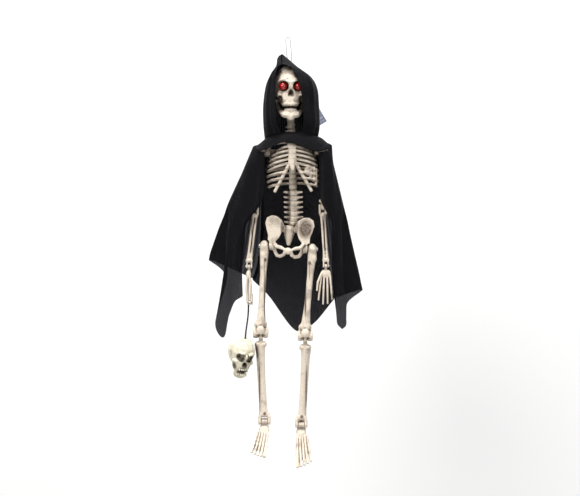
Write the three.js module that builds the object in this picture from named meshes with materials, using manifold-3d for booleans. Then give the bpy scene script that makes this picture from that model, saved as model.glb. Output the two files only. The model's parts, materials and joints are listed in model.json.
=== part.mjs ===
// A hanging plastic skeleton in a black hooded cape, with a small skull on a cord in its right hand.
// Millimetres, +Z up. The figure faces -Y and its right side is -X.
// The origin is the top of the hanging loop, where it rests on its pin.
import * as THREE from "three";
import { mergeVertices } from "three/addons/utils/BufferGeometryUtils.js";
import Module from "manifold-3d";

const wasm = await Module();
wasm.setup();

// ---- driving dimensions ----
// hanging loop
const loopDrop = 29; // top of the loop down to the crown
const loopWidth = 4.6; // between the middles of its two strands
const loopWire = 0.9; // thickness of the nylon
const figureShift = [3, -3]; // how far the figure's middle lies from under the pin, in X and Y

// head
const skullWidth = 36;
const skullDepth = 44;
const craniumHeight = 40;
const skullHeight = 56; // crown to chin
const shellWall = 2;
const skullSplit = -6; // the face shell ends here, in front of the crown
const eyeRadius = 4.5;
const eyeSpacing = 15;
const eyeDrop = 22; // crown down to the middle of the eyes
const skullYaw = 3; // degrees, the face turned to the figure's left
const neckPegRadius = 2.6;
const neckPlay = 1.2; // how much wider the skull's socket is, in radius

// trunk
const chestDrop = 72; // crown down to the top of the chest column
const chestColumn = 52;
const ribPairs = 8;
const ribPitch = 5.1;
const ribRadius = 1.25;
const ribHalfWidth = 25.5;
const chestFront = 15; // middle of the ribs forward to the breastbone
const chestBack = 8; // middle of the ribs back to the spine
const columnRadius = 4.3;
const lumbarLength = 35;
const lumbarCount = 7;
const lumbarRadius = 5;
const processReach = 9.5;
const trunkLean = -1.2; // degrees about Y
const pelvisLean = 4; // degrees about Y
const wingSpan = 24; // middle of the pelvis out to the hip bone's edge

// limbs, joint to joint
const shoulderSpan = 61;
const upperArm = 56;
const foreArm = 58.5;
const hipSpan = 48;
const thigh = 86.5;
const shin = 89;
const footLength = 44; // ankle pin to toe tip

// joint hardware
const screwRadius = 1.2;
const screwHead = 2.4;
const elbowPin = 0.9;
const wristPin = 0.6;
const kneePin = 1.1;
const anklePin = 0.9;
const jawPin = 0.8;
const gap = 0.3; // between pieces that touch or slide
const bore = 0.25; // how much wider a hole is than its pin, in radius

// small skull on its cord
const cordThickness = 1.6;
const cordLength = 28; // fingertips to the small skull's crown
const smallSkullWidth = 27;
const smallSkullHeight = 40;
const smallSkullDepth = 31;
const smallSkullWall = 1.6;
const smallCordHole = 1.2; // radius

// cloth and card
const clothThickness = 1.2;
const tagSize = [20, 34, 0.6];

// ---- materials ----
function finish(color, roughness, metalness = 0) {
  return new THREE.MeshStandardMaterial({ color, roughness, metalness });
}
const bonePlastic = finish(0xe1d2be, 0.6);
const skullCream = finish(0xe6e1c8, 0.65);
const redAcrylic = finish(0xbe1419, 0.12);
const blackCloth = finish(0x17161b, 0.9);
const clearNylon = finish(0xd8d8d8, 0.25);
const blackCord = finish(0x131313, 0.8);
const steel = finish(0x9a9a9a, 0.35, 1);
const tagCard = finish(0x44546e, 0.75);

// ---- solids ----
const point = (p) => new THREE.Vector3(...p);

// A closed geometry as a manifold solid, with its faces turned outwards.
function solid(geometry) {
  const bare = geometry.clone();
  bare.deleteAttribute("normal");
  bare.deleteAttribute("uv");
  const merged = mergeVertices(bare, 1e-4);
  const make = (triVerts) =>
    new wasm.Manifold(
      new wasm.Mesh({ numProp: 3, vertProperties: merged.attributes.position.array, triVerts }),
    );
  const triangles = new Uint32Array(merged.index.array);
  const made = make(triangles);
  return made.volume() >= 0 ? made : make(triangles.reverse());
}

const joined = (...pieces) => pieces.flat(Infinity).reduce((all, piece) => all.add(piece));
const cut = (piece, ...tools) => tools.flat(Infinity).reduce((left, tool) => left.subtract(tool), piece);

function geometryOf(shape) {
  const mesh = shape.getMesh();
  const geometry = new THREE.BufferGeometry();
  geometry.setAttribute("position", new THREE.BufferAttribute(mesh.vertProperties, mesh.numProp));
  geometry.setIndex(new THREE.BufferAttribute(mesh.triVerts, 1));
  const flat = geometry.toNonIndexed();
  flat.computeVertexNormals();
  return flat;
}

function piece(name, shape, material, group, at = [0, 0, 0]) {
  const mesh = new THREE.Mesh(geometryOf(shape), material);
  mesh.name = name;
  mesh.position.set(...at);
  group.add(mesh);
  return mesh;
}

// A frustum from one point to another.
function rod(from, to, startRadius, endRadius = startRadius, sides = 7) {
  const [a, b] = [point(from), point(to)];
  const along = b.clone().sub(a);
  const geometry = new THREE.CylinderGeometry(endRadius, startRadius, along.length(), sides);
  geometry.applyQuaternion(
    new THREE.Quaternion().setFromUnitVectors(new THREE.Vector3(0, 1, 0), along.normalize()),
  );
  const middle = a.add(b).multiplyScalar(0.5);
  return solid(geometry.translate(middle.x, middle.y, middle.z));
}

function ball(at, radii, around = 7, down = 5) {
  const [x, y, z] = typeof radii === "number" ? [radii, radii, radii] : radii;
  const geometry = new THREE.SphereGeometry(1, around, down).rotateX(Math.PI / 2);
  return solid(geometry.scale(x, y, z).translate(...at));
}

function block(low, high) {
  const [a, b] = [point(low), point(high)];
  const size = b.clone().sub(a);
  const middle = a.add(b).multiplyScalar(0.5);
  return solid(new THREE.BoxGeometry(size.x, size.y, size.z).translate(middle.x, middle.y, middle.z));
}

// A turned shape from one point to another: each profile row is [share of the way, radius].
function turned(from, to, profile, sides = 8) {
  const [a, b] = [point(from), point(to)];
  const along = b.clone().sub(a);
  const length = along.length();
  const outline = [
    new THREE.Vector2(0, profile[0][0] * length),
    ...profile.map(([share, radius]) => new THREE.Vector2(radius, share * length)),
    new THREE.Vector2(0, profile.at(-1)[0] * length),
  ];
  const geometry = new THREE.LatheGeometry(outline, sides);
  geometry.applyQuaternion(
    new THREE.Quaternion().setFromUnitVectors(new THREE.Vector3(0, 1, 0), along.normalize()),
  );
  return solid(geometry.translate(a.x, a.y, a.z));
}

// A round tube along a smooth curve through the points.
function tube(points, radius, steps, sides = 5) {
  const ring = Array.from({ length: sides }, (_, i) => {
    const turn = (2 * Math.PI * i) / sides;
    return new THREE.Vector2(radius * Math.cos(turn), radius * Math.sin(turn));
  });
  const extrudePath = new THREE.CatmullRomCurve3(points.map(point));
  return solid(new THREE.ExtrudeGeometry(new THREE.Shape(ring), { extrudePath, steps }));
}

// A flat plate whose outline is given in X and Z, from y = front back to y = front + thickness.
function plate(outline, front, thickness) {
  const shape = new THREE.Shape(outline.map(([x, z]) => new THREE.Vector2(x, z)));
  const geometry = new THREE.ExtrudeGeometry(shape, { depth: thickness, bevelEnabled: false });
  return solid(geometry.rotateX(Math.PI / 2).translate(0, front + thickness, 0));
}

// A disc across X, the knuckle of a hinge, and the hole for its pin.
const disc = ([x, y, z], halfWidth, radius, sides = 8) =>
  rod([x - halfWidth, y, z], [x + halfWidth, y, z], radius, radius, sides);
const pinHole = (at, radius, reach = 12) => disc(at, reach, radius + bore, 7);

// A pin across X with a head at its outer end.
function pinAcross([x, y, z], side, inner, outer, radius, headRadius, headHeight) {
  const shankEnd = outer + headHeight / 2;
  const headEnd = outer + headHeight;
  const shank = rod([x + side * inner, y, z], [x + side * shankEnd, y, z], radius, radius, 7);
  const head = () => rod([x + side * outer, y, z], [x + side * headEnd, y, z], headRadius, headRadius * 0.7, 8);
  return headHeight ? joined(shank, head()) : shank;
}

// A cloth shell: a smooth sheet through rows of points, with its thickness across the sheet.
function cloth(rows, across, down, thickness = clothThickness) {
  const rowCurves = rows.map((row) => new THREE.CatmullRomCurve3(row.map(point)));
  const sheetPoint = (u, v) => {
    const column = new THREE.CatmullRomCurve3(rowCurves.map((curve) => curve.getPoint(u)));
    return column.getPoint(v);
  };
  const step = 0.01;
  const clamp = (t) => Math.min(Math.max(t, 0), 1);
  const geometry = new THREE.BoxGeometry(1, 1, 1, across, down, 1);
  const places = geometry.attributes.position;
  for (let i = 0; i < places.count; i++) {
    const u = places.getX(i) + 0.5;
    const v = 0.5 - places.getY(i);
    const alongRow = sheetPoint(clamp(u + step), v).sub(sheetPoint(clamp(u - step), v));
    const downColumn = sheetPoint(u, clamp(v + step)).sub(sheetPoint(u, clamp(v - step)));
    const normal = alongRow.cross(downColumn).normalize();
    const place = sheetPoint(u, v).addScaledVector(normal, places.getZ(i) * thickness);
    places.setXYZ(i, place.x, place.y, place.z);
  }
  return solid(geometry);
}

// A point turned about a pivot by degrees about Y.
function leaned([x, y, z], [px, , pz], degrees) {
  const turn = THREE.MathUtils.degToRad(degrees);
  const [dx, dz] = [x - px, z - pz];
  return [
    px + dx * Math.cos(turn) + dz * Math.sin(turn),
    y,
    pz - dx * Math.sin(turn) + dz * Math.cos(turn),
  ];
}

// ---- places, in the figure's own frame ----
const crown = [-1.2, 3, -loopDrop];
const chestTop = [1, 6, crown[2] - chestDrop];
const spineY = 9;
const ribY = spineY - chestBack; // middle of the ribcage, front to back
const lumbarTop = leaned([chestTop[0], spineY, chestTop[2] - chestColumn - gap], chestTop, trunkLean);
const lumbarFoot = leaned(
  [chestTop[0], spineY, chestTop[2] - chestColumn - gap - lumbarLength],
  chestTop,
  trunkLean,
);
const pelvisTop = [lumbarFoot[0] - 4, spineY, lumbarFoot[2] - gap];
const hipDrop = 22; // sacrum's top down to the hip screws

const sides = {
  right: { sign: -1, elbow: [-7, -1, 0], wrist: [-5.5, -3, 0], knee: -3.5, ankle: 3.5, footDrop: 31, toeOut: -8 },
  left: { sign: 1, elbow: [0, -1, 0], wrist: [3, -3, 0], knee: -7, ankle: -4, footDrop: 49, toeOut: 4 },
};
const down = (offset, length) => [offset[0], offset[1], -Math.sqrt(length ** 2 - offset[0] ** 2 - offset[1] ** 2)];
const plus = (a, b) => a.map((value, i) => value + b[i]);

for (const side of Object.values(sides)) {
  const shoulder = [chestTop[0] + (side.sign * shoulderSpan) / 2, 4, chestTop[2] - 14];
  side.shoulder = leaned(shoulder, chestTop, trunkLean);
  side.elbowAt = down(side.elbow, upperArm);
  side.wristAt = down(side.wrist, foreArm);
  const hip = [pelvisTop[0] + (side.sign * hipSpan) / 2, 2, pelvisTop[2] - hipDrop];
  side.hip = leaned(hip, pelvisTop, pelvisLean);
  side.kneeAt = down([side.knee, -2], thigh);
  side.ankleAt = down([side.ankle, 2], shin);
}

const root = new THREE.Group();
const figure = new THREE.Group();
figure.position.set(figureShift[0], figureShift[1], 0);
root.add(figure);

function groupAt(parent, at) {
  const group = new THREE.Group();
  group.position.set(...at);
  parent.add(group);
  return group;
}

// ---- hanging loop ----
const loopKnotDrop = 5; // below the crown, inside the cranium
function hangingLoop() {
  const [cx, cy] = [crown[0] + figureShift[0], crown[1] + figureShift[1]];
  const half = loopWidth / 2;
  const knotTop = crown[2] - loopKnotDrop + 2;
  const strand = (sign) => [
    [cx + sign * 0.7, cy, knotTop],
    [cx + sign * half * 0.55, cy, crown[2] + 1],
    [cx * 0.6 + sign * half, cy, crown[2] * 0.6],
    [sign * half * 0.95, 0, -3.5],
    [sign * half * 0.55, 0, -loopWire * 0.8],
  ];
  const route = [...strand(-1), [0, 0, -loopWire / 2], ...strand(1).reverse()];
  piece("hanging_loop", tube(route, loopWire / 2, 26, 6), clearNylon, root);
  const knot = ball([crown[0], crown[1], crown[2] - loopKnotDrop - 0.9], [2.8, 2.4, 2.2], 7, 5);
  piece("loop_knot", knot, clearNylon, figure);
}

// ---- skull, in a frame with its origin at the crown ----
const cranium = { middle: -craniumHeight / 2, x: skullWidth / 2, y: skullDepth / 2, z: craniumHeight / 2 };
const socketDepth = skullDepth / 2 - 3; // middle of the eye sockets in front of the crown
const teethLine = -41.2;
const jawPivot = [0, -1, -34.5];
const ramusX = [11.6, 14.2]; // inner and outer faces of the jaw's hinge ends
const neckPegAt = [0, 4];

function skullBody() {
  const face = ball([0, -10.5, -31], [13, 10.5, 12.5], 7, 5);
  const upperJaw = ball([0, -12, -36.6], [8.4, 8.8, 5], 7, 5);
  const cheeks = [-1, 1].flatMap((s) => [
    ball([s * 10.5, -14, -30], [4.2, 4, 3.2], 7, 5),
    rod([s * 12.5, -12, -30], [s * 17, -2, -28.6], 1.6, 1.2, 6),
    rod([s * 17, -2, -28.6], [s * 15.5, 4, -27], 1.2, 1.4, 6),
  ]);
  const brow = tube([[-12.5, -14.5, -17.5], [-7, -19.6, -16.4], [0, -20, -18], [7, -19.6, -16.4], [12.5, -14.5, -17.5]], 2, 8, 5);
  const base = ball([0, 3, -33.5], [12, 12, 6], 7, 5);
  const shell = ball([0, 0, cranium.middle], [cranium.x, cranium.y, cranium.z], 14, 8);
  return joined(shell, face, upperJaw, brow, base, cheeks);
}

// A row of teeth as one band round the front of the mouth.
function teethBand(halfWidth, back, front, z, radius) {
  const points = [-1, -0.8, -0.4, 0, 0.4, 0.8, 1].map((share) => {
    const turn = share * 1.1;
    return [halfWidth * Math.sin(turn), back - (back - front) * Math.cos(turn), z];
  });
  return tube(points, radius, 7, 5);
}

function skullHollow() {
  const inner = [cranium.x - shellWall, cranium.y - shellWall - 3, cranium.z - shellWall];
  return ball([0, 2.6, cranium.middle + 0.5], inner, 7, 5);
}

function skullOpenings() {
  const sockets = [-1, 1].map((s) =>
    ball([(s * eyeSpacing) / 2, -socketDepth, -eyeDrop], [6.2, 6, 5.6], 9, 7),
  );
  const nose = [-1, 1].map((s) => rod([s * 1.2, -24, -30.5], [s * 0.9, -15, -28.5], 1.9, 1.5, 6));
  const noseTop = rod([0, -24, -28], [0, -15, -27], 1.5, 1.2, 6);
  const loopHole = rod([0, 0, -8], [0, 0, 4], 2.6, 2.6, 8);
  const neckHole = rod([...neckPegAt, -46], [...neckPegAt, -24], neckPegRadius + neckPlay, neckPegRadius + neckPlay, 10);
  const jawHoles = [-1, 1].map((s) =>
    rod([s * 9, jawPivot[1], jawPivot[2]], [s * 22, jawPivot[1], jawPivot[2]], jawPin + bore, jawPin + bore, 6),
  );
  const jawRecess = [-1, 1].map((s) =>
    rod([s * (ramusX[0] - gap), jawPivot[1], jawPivot[2]], [s * 24, jawPivot[1], jawPivot[2]], 4.6, 4.6, 8),
  );
  return [...sockets, ...nose, noseTop, loopHole, neckHole, ...jawHoles, ...jawRecess];
}

function skull(head) {
  const teeth = teethBand(7.4, -12, -19.6, teethLine + 1.7, 1.7);
  const whole = cut(joined(skullBody(), teeth), skullHollow(), skullOpenings());
  const [far, high] = [60, 90];
  const frontHalf = block([-far, -far, -high], [far, skullSplit - gap / 2, high]);
  const backHalf = block([-far, skullSplit + gap / 2, -high], [far, far, high]);
  const largest = (shape) =>
    shape.decompose().reduce((most, part) => (part.volume() > most.volume() ? part : most));
  piece("skull_face", largest(whole.intersect(frontHalf)), bonePlastic, head);
  piece("skull_back", largest(whole.intersect(backHalf)), bonePlastic, head);
  for (const [name, s] of [["eye_right", -1], ["eye_left", 1]]) {
    const at = [(s * eyeSpacing) / 2, 1 - socketDepth, -eyeDrop];
    piece(name, ball(at, eyeRadius, 9, 7), redAcrylic, head);
  }
}

function jaw(head) {
  const [, py, pz] = jawPivot;
  const middleX = (ramusX[0] + ramusX[1]) / 2;
  const ramus = (s) => [
    disc([s * middleX, py, pz], (ramusX[1] - ramusX[0]) / 2, 2.5, 8),
    rod([s * middleX, py, pz - 1], [s * 11, -4, -45], 1.4, 2.4, 6),
    rod([s * 11, -4, -45], [s * 6.6, -14.5, -49.4], 2.4, 3.4, 6),
    rod([s * 6.6, -14.5, -49.4], [0, -17.6, -50.4], 3.4, 4, 6),
    ball([s * 11, -4, -45], 2.4, 6, 4),
    ball([s * 6.6, -14.5, -49.4], 3.4, 6, 4),
  ];
  const chin = ball([0, -17.6, 4.4 - skullHeight], [4.6, 3.4, 4.4], 7, 5);
  const teeth = teethBand(6.6, -11.5, -18.2, -46.2, 1.6);
  const whole = joined([-1, 1].flatMap(ramus), chin, teeth);
  const holes = [-1, 1].map((s) => rod([s * 9, py, pz], [s * 22, py, pz], jawPin + bore, jawPin + bore, 6));
  piece("jaw", cut(whole, holes), bonePlastic, head);
  for (const [name, s] of [["jaw_pin_right", -1], ["jaw_pin_left", 1]]) {
    const pin = pinAcross(jawPivot, s, ramusX[0] - 2.6, ramusX[1] + gap, jawPin, 1.5, 0.7);
    piece(name, pin, steel, head);
  }
}

// ---- neck and trunk ----
function vertebraProfile(count, wide, narrow) {
  const rows = [];
  for (let i = 0; i < count; i++) {
    rows.push([i / count, narrow], [(i + 0.5) / count, wide]);
  }
  return [...rows, [1, narrow]];
}

function neck() {
  const yaw = THREE.MathUtils.degToRad(skullYaw);
  const pegAt = [crown[0] - neckPegAt[1] * Math.sin(yaw), crown[1] + neckPegAt[1] * Math.cos(yaw)];
  const top = [...pegAt, crown[2] - 39.5 - gap];
  const foot = [chestTop[0], spineY - 1, chestTop[2] + gap];
  const column = turned(foot, top, vertebraProfile(6, 4.5, 3.6), 7);
  const peg = rod(plus(top, [0, 0, -2]), plus(top, [0, 0, 7.5]), neckPegRadius, neckPegRadius, 8);
  piece("neck", joined(column, peg), bonePlastic, figure);
}

// Ribs are counted from the top. Heights are below the chest's top.
const ribWidth = (i) => ribHalfWidth * [0.6, 0.79, 0.89, 0.95, 0.99, 1, 0.99, 0.95][i];
const ribSideZ = (i) => -13 - ribPitch * i;
const breastboneZ = (i) => -9 - 4.2 * i;
const trueRibs = 5; // these reach the breastbone, the others end on the costal arch
const archTop = [3, -chestFront, -26];
const archFoot = [18.5, -chestFront * 0.62, -54];

function archPoint(share) {
  return archTop.map((value, axis) => value + share * (archFoot[axis] - value));
}

function frontRib(side, i) {
  const w = ribWidth(i);
  const end = i < trueRibs ? [3, -chestFront, breastboneZ(i)] : archPoint(0.3 + 0.22 * (i - trueRibs));
  const lift = end[2] - ribSideZ(i);
  const points = [
    [w, -gap / 2, ribSideZ(i)],
    [w, -1.6, ribSideZ(i)],
    [w * 0.93, -chestFront * 0.42, ribSideZ(i) + lift * 0.12],
    [end[0] + (w - end[0]) * 0.55, end[1] * 0.93, ribSideZ(i) + lift * 0.6],
    end,
  ];
  return tube(points.map(([x, y, z]) => [side * x, y, z]), ribRadius, 4, 4);
}

function backRib(side, i) {
  const w = ribWidth(i);
  const z = ribSideZ(i);
  const points = [
    [w, gap / 2, z],
    [w, 1.6, z],
    [w * 0.86, chestBack * 0.65, z + 1.6],
    [w * 0.45, chestBack * 1.1, z + 3.2],
    [2, chestBack, z + 3.6],
  ];
  return tube(points.map(([x, y, z2]) => [side * x, y, z2]), ribRadius, 4, 4);
}

function breastbone() {
  const outline = [
    [-4.6, -6], [4.6, -6], [4.2, -10], [3.3, -12.5], [3.8, -21], [4, -26],
    [2.2, -28.5], [1.3, -33], [-1.3, -33], [-2.2, -28.5], [-4, -26], [-3.8, -21], [-3.3, -12.5], [-4.2, -10],
  ];
  return plate(outline.reverse(), -chestFront - 1.4, 2.8);
}

function ribcage(trunk) {
  const pairs = Array.from({ length: ribPairs }, (_, i) => i);
  const arches = [-1, 1].map((s) => {
    const mirrored = (p) => [s * p[0], p[1], p[2]];
    return rod(mirrored(archTop), mirrored(archFoot), 1.7, 1.4, 6);
  });
  const front = joined(breastbone(), arches, pairs.flatMap((i) => [frontRib(-1, i), frontRib(1, i)]));
  const column = turned([0, chestBack, -chestColumn], [0, chestBack, 0], vertebraProfile(8, columnRadius, 3.6), 6);
  const spines = Array.from({ length: 8 }, (_, i) => {
    const z = -6 - i * 5.8;
    return rod([0, chestBack + 2.5, z], [0, chestBack + 7, z - 3], 1.5, 0.7, 4);
  });
  const back = joined(column, spines, pairs.flatMap((i) => [backRib(-1, i), backRib(1, i)]));
  const at = [0, ribY - chestTop[1], 0];
  for (const [name, shape] of [["ribcage_front", front], ["ribcage_back", back]]) {
    piece(name, shape, bonePlastic, trunk, at).rotation.y = THREE.MathUtils.degToRad(trunkLean);
  }
}

function lumbarSpine() {
  const column = turned(lumbarFoot, lumbarTop, vertebraProfile(lumbarCount, lumbarRadius, 4.1), 7);
  const processes = Array.from({ length: lumbarCount }, (_, i) => {
    const share = (i + 0.5) / lumbarCount;
    const [x, y, z] = lumbarFoot.map((value, axis) => value + share * (lumbarTop[axis] - value));
    return [
      rod([x, y - 1, z], [x - processReach, y - 1.5, z + 1], 2.4, 0.9, 4),
      rod([x, y - 1, z], [x + processReach, y - 1.5, z + 1], 2.4, 0.9, 4),
      rod([x, y + 2, z], [x, y + 7.5, z - 1.5], 1.6, 0.9, 4),
    ];
  });
  piece("lumbar_spine", joined(column, processes), bonePlastic, figure);
}

// A shoulder blade with its collar bone and the boss that takes the shoulder screw.
const lugHalf = 3.6;
const bossLength = 4.5;
function shoulderPiece(name, { sign, shoulder }) {
  const [x, y, z] = shoulder;
  const face = x - sign * (lugHalf + gap);
  const boss = rod([face, y, z], [face - sign * bossLength, y, z], 3.8, 4.2, 8);
  const bladeY = 11.2;
  const blade = plate(
    [[0, 4.5], [14, 3], [17, -3], [14, -24], [11, -27], [7, -18], [1, -3]].map(([a, b]) => [
      face - sign * (2 + a),
      z + b,
    ]),
    bladeY,
    1.8,
  );
  const neckOfBlade = rod([face - sign * 3, y + 1, z], [face - sign * 4, bladeY + 1, z], 3, 2.4, 6);
  const ridge = rod([face - sign * 2, bladeY + 1, z + 2.5], [face - sign * 17, bladeY + 1.6, z - 1], 1.7, 1, 6);
  const collarBone = tube(
    [
      [face - sign * 2.5, y, z + 2.5],
      [face - sign * 3, y - 3, z + 4.6],
      [chestTop[0] + sign * 15, -8.5, z + 8.5],
      [chestTop[0] + sign * 6.2, -13, chestTop[2] - 5.4],
    ],
    1.5,
    8,
  );
  const whole = joined(boss, blade, neckOfBlade, ridge, collarBone);
  piece(name, cut(whole, pinHole(shoulder, screwRadius, 9)), bonePlastic, figure);
}

// ---- pelvis ----
const hipLugHalf = 4;
function pelvis() {
  const [x, , z] = pelvisTop;
  const local = (points) => points.map(([a, b]) => [x + a, z + b]);
  const sacrum = turned([x, 8.5, z - 20], [x, spineY, z], [[0, 1.6], [0.35, 4], [0.8, 7], [1, 5.4]], 10);
  const crest = (s) => {
    const outline = [
      [5, -1], [8, 5], [13, 8.6], [18.5, 9], [wingSpan - 0.8, 6.5], [wingSpan + 0.6, 1], [wingSpan - 1, -5],
      [21, -11], [21, -18], [15, -19], [10, -13],
    ].map(([a, b]) => [s * a, b]);
    const flare = plate(local(s > 0 ? outline.reverse() : outline), -1.4, 2.8);
    return flare;
  };
  const ring = (s) =>
    tube(
      [
        [x + s * 15.5, 1, z - 16],
        [x + s * 12, -6, z - 21.5],
        [x + s * 3, -9, z - 24],
        [x + s * 4, -7.5, z - 29.5],
        [x + s * 10, -2, z - 31],
        [x + s * 13.5, 2, z - 26],
        [x + s * 15.5, 2, z - 17],
      ],
      2,
      10,
    );
  const symphysis = ball([x, -8.6, z - 25.5], [4, 2.6, 3.6], 7, 5);
  const backArch = (s) => rod([x + s * 4, spineY - 1, z - 4], [x + s * 13, 0, z - 3], 3.4, 2.6, 6);
  const shape = joined(sacrum, symphysis, [-1, 1].flatMap((s) => [crest(s), ring(s), backArch(s)]));
  const turn = THREE.MathUtils.degToRad(pelvisLean);
  const toPivot = (geometry, way) => geometry.translate(-way * x, 0, -way * z);
  const leaning = toPivot(toPivot(geometryOf(shape), 1).rotateY(turn), -1);
  const bosses = Object.values(sides).map(({ sign, hip }) => {
    const face = hip[0] - sign * (hipLugHalf + gap);
    return rod([face, hip[1], hip[2]], [face - sign * 5.2, hip[1], hip[2]], 4.1, 4.7, 9);
  });
  const holes = Object.values(sides).map(({ hip }) => pinHole(hip, screwRadius, 9));
  const clearance = Object.values(sides).flatMap(({ sign, hip: [hx, hy, hz] }) => {
    const half = hipLugHalf + 1.4 + gap;
    return [
      disc([hx + sign, hy, hz], half, 6.8, 8),
      block([hx + sign - half, hy - 6.1, hz - 13], [hx + sign + half, hy + 6.1, hz - 1]),
    ];
  });
  piece("pelvis", cut(joined(solid(leaning), bosses), holes, clearance), bonePlastic, figure);
}

// ---- arms, each bone in a frame at the joint it hangs from ----
const elbowTongue = 1.6; // half widths across X
const elbowEars = [1.9, 4];
const wristTongue = 1.1;
const wristEars = [1.4, 3];

function ears([x, y, z], [inner, outer], radius, up) {
  const middle = (inner + outer) / 2;
  const half = (outer - inner) / 2;
  return [-1, 1].flatMap((s) => [
    disc([x + s * middle, y, z], half, radius, 8),
    block(
      [x + s * middle - half, y - radius * 0.8, Math.min(z, z + up)],
      [x + s * middle + half, y + radius * 0.8, Math.max(z, z + up)],
    ),
  ]);
}

function upperArmBone(name, side, group) {
  const { sign, elbowAt } = side;
  const knob = plus(elbowAt, [0, 0, 6.4]);
  const shape = joined(
    disc([0, 0, 0], lugHalf, 4.5, 8),
    ball([sign * 0.6, 0, 0.4], [3.4, 4.6, 4.4], 7, 5),
    turned(knob, [0, 0, 0], [[0, 3], [0.18, 2.3], [0.6, 2.1], [0.85, 2.8], [1, 3.4]], 7),
    ball(knob, [4.1, 2.6, 2.5], 7, 5),
    disc(elbowAt, elbowTongue, 3.3, 8),
    block(plus(elbowAt, [-elbowTongue, -2, 0]), plus(elbowAt, [elbowTongue, 2, 6])),
  );
  const holes = [pinHole([0, 0, 0], screwRadius), pinHole(elbowAt, elbowPin)];
  piece(name, cut(shape, holes), bonePlastic, group);
}

function foreArmBone(name, side, group) {
  const { wristAt } = side;
  const elbowBlock = [0, 0, -7.1];
  const wristBlock = plus(wristAt, [0, 0, 5.8]);
  const twin = (s) =>
    turned(
      plus(wristBlock, [s * 1.5, 0, 0]),
      plus(elbowBlock, [s * 1.5, s * 0.5, 0]),
      [[0, 1.7], [0.2, 1.25], [0.85, 1.3], [1, 1.8]],
      5,
    );
  const shape = joined(
    ears([0, 0, 0], elbowEars, 3.1, -6.5),
    ball(elbowBlock, [3.9, 2.7, 2.6], 7, 5),
    twin(-1),
    twin(1),
    ball(wristBlock, [3.9, 2.4, 2.6], 7, 5),
    ears(wristAt, wristEars, 2.1, 5),
  );
  piece(name, cut(shape, pinHole([0, 0, 0], elbowPin), pinHole(wristAt, wristPin)), bonePlastic, group);
}

// The open hand hangs flat, its palm to the back, with the fingers spread.
function openHand(name, sign, group) {
  const fingers = [
    [-4.4, -7.4, -34.5],
    [-1.6, -2.8, -38.6],
    [1.3, 1.8, -38],
    [4, 6.2, -34],
  ].map(([top, tip, z]) => [
    rod([sign * top, 0, -9], [sign * (top + tip) * 0.5, -0.8, -21], 1.15, 0.95, 6),
    rod([sign * (top + tip) * 0.5, -0.8, -20.6], [sign * tip, 0.4, z], 1.1, 0.75, 6),
  ]);
  const thumb = [
    rod([-sign * 4, -0.6, -7], [-sign * 8, -2, -16], 1.3, 1.05, 6),
    rod([-sign * 8, -2, -15.6], [-sign * 9, -2.6, -25], 1.1, 0.8, 6),
  ];
  const palm = ball([0, 0, -7.8], [5.4, 1.9, 4.4], 7, 5);
  const wrist = [disc([0, 0, 0], wristTongue, 2, 8), block([-wristTongue, -1.4, -6], [wristTongue, 1.4, 0])];
  piece(name, cut(joined(palm, wrist, thumb, fingers), pinHole([0, 0, 0], wristPin)), bonePlastic, group);
}

// The gripping hand is seen edge on, its palm to the thigh, with the fingers curled round the cord.
const gripTip = -41; // below the wrist
function grippingHand(name, group) {
  const fingers = [-4.2, -1.4, 1.4, 4.2].map((y, i) => {
    const reach = [0.93, 1, 0.99, 0.9][i];
    const tip = gripTip * reach;
    return tube(
      [
        [-1.4, y * 0.8, -8],
        [-2.4, y, -19],
        [-2.2, y, -29],
        [-0.4, y * 0.95, tip + 1.4],
        [2.3, y * 0.9, tip + 2.6],
        [2.7, y * 0.85, tip + 9],
      ],
      1.2,
      7,
      4,
    );
  });
  const webbing = block([-3.1, -3.8, -31], [-0.6, 3.8, -14]);
  const thumb = tube([[0, -3.6, -9], [1.4, -5.4, -16], [1.8, -5, -24], [1.6, -2.6, -32]], 1.3, 5, 4);
  const palm = ball([-0.6, 0, -8.4], [2.6, 5.2, 4.8], 7, 5);
  const wrist = [disc([0, 0, 0], wristTongue, 2, 8), block([-wristTongue, -1.4, -6], [wristTongue, 1.4, 0])];
  const whole = joined(palm, wrist, thumb, webbing, fingers);
  piece(name, cut(whole, pinHole([0, 0, 0], wristPin)), bonePlastic, group);
}

// ---- legs ----
const kneeTongue = 1.8;
const condyles = [2.15, 7.4];
const condyleRadius = 5.2;
const ankleTongue = 2.9;
const ankleEars = [3.2, 6];

function thighBone(name, side, group) {
  const { sign, kneeAt } = side;
  const [kx, ky, kz] = kneeAt;
  const flare = plus(kneeAt, [0, 0, 8]);
  const condyle = (s) => disc([kx + (s * (condyles[0] + condyles[1])) / 2, ky, kz], (condyles[1] - condyles[0]) / 2, condyleRadius, 8);
  const shape = joined(
    disc([0, 0, 0], hipLugHalf, 5.4, 8),
    ball([sign * 0.2, 0, -3.4], [3.8, 4.8, 6.5]),
    turned(flare, [0, 0, -4], [[0, 5.4], [0.1, 4.2], [0.25, 3.3], [0.7, 3.2], [0.88, 4], [1, 4.8]], 7),
    ball(flare, [7, 4.8, 5.4], 7, 5),
    condyle(-1),
    condyle(1),
    ball([kx, ky - 4.4, kz + 2.6], [3.9, 2.2, 4.2], 7, 5),
  );
  const slot = block(
    [kx - kneeTongue - gap, ky - 4.3, kz - 9],
    [kx + kneeTongue + gap, ky + 12, kz + 4.8],
  );
  const dimple = rod([0, -6, -12], [0, -3.2, -12], 1.3, 1.1, 6);
  const holes = [pinHole([0, 0, 0], screwRadius), pinHole(kneeAt, kneePin)];
  piece(name, cut(shape, slot, dimple, holes), bonePlastic, group);
}

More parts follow.
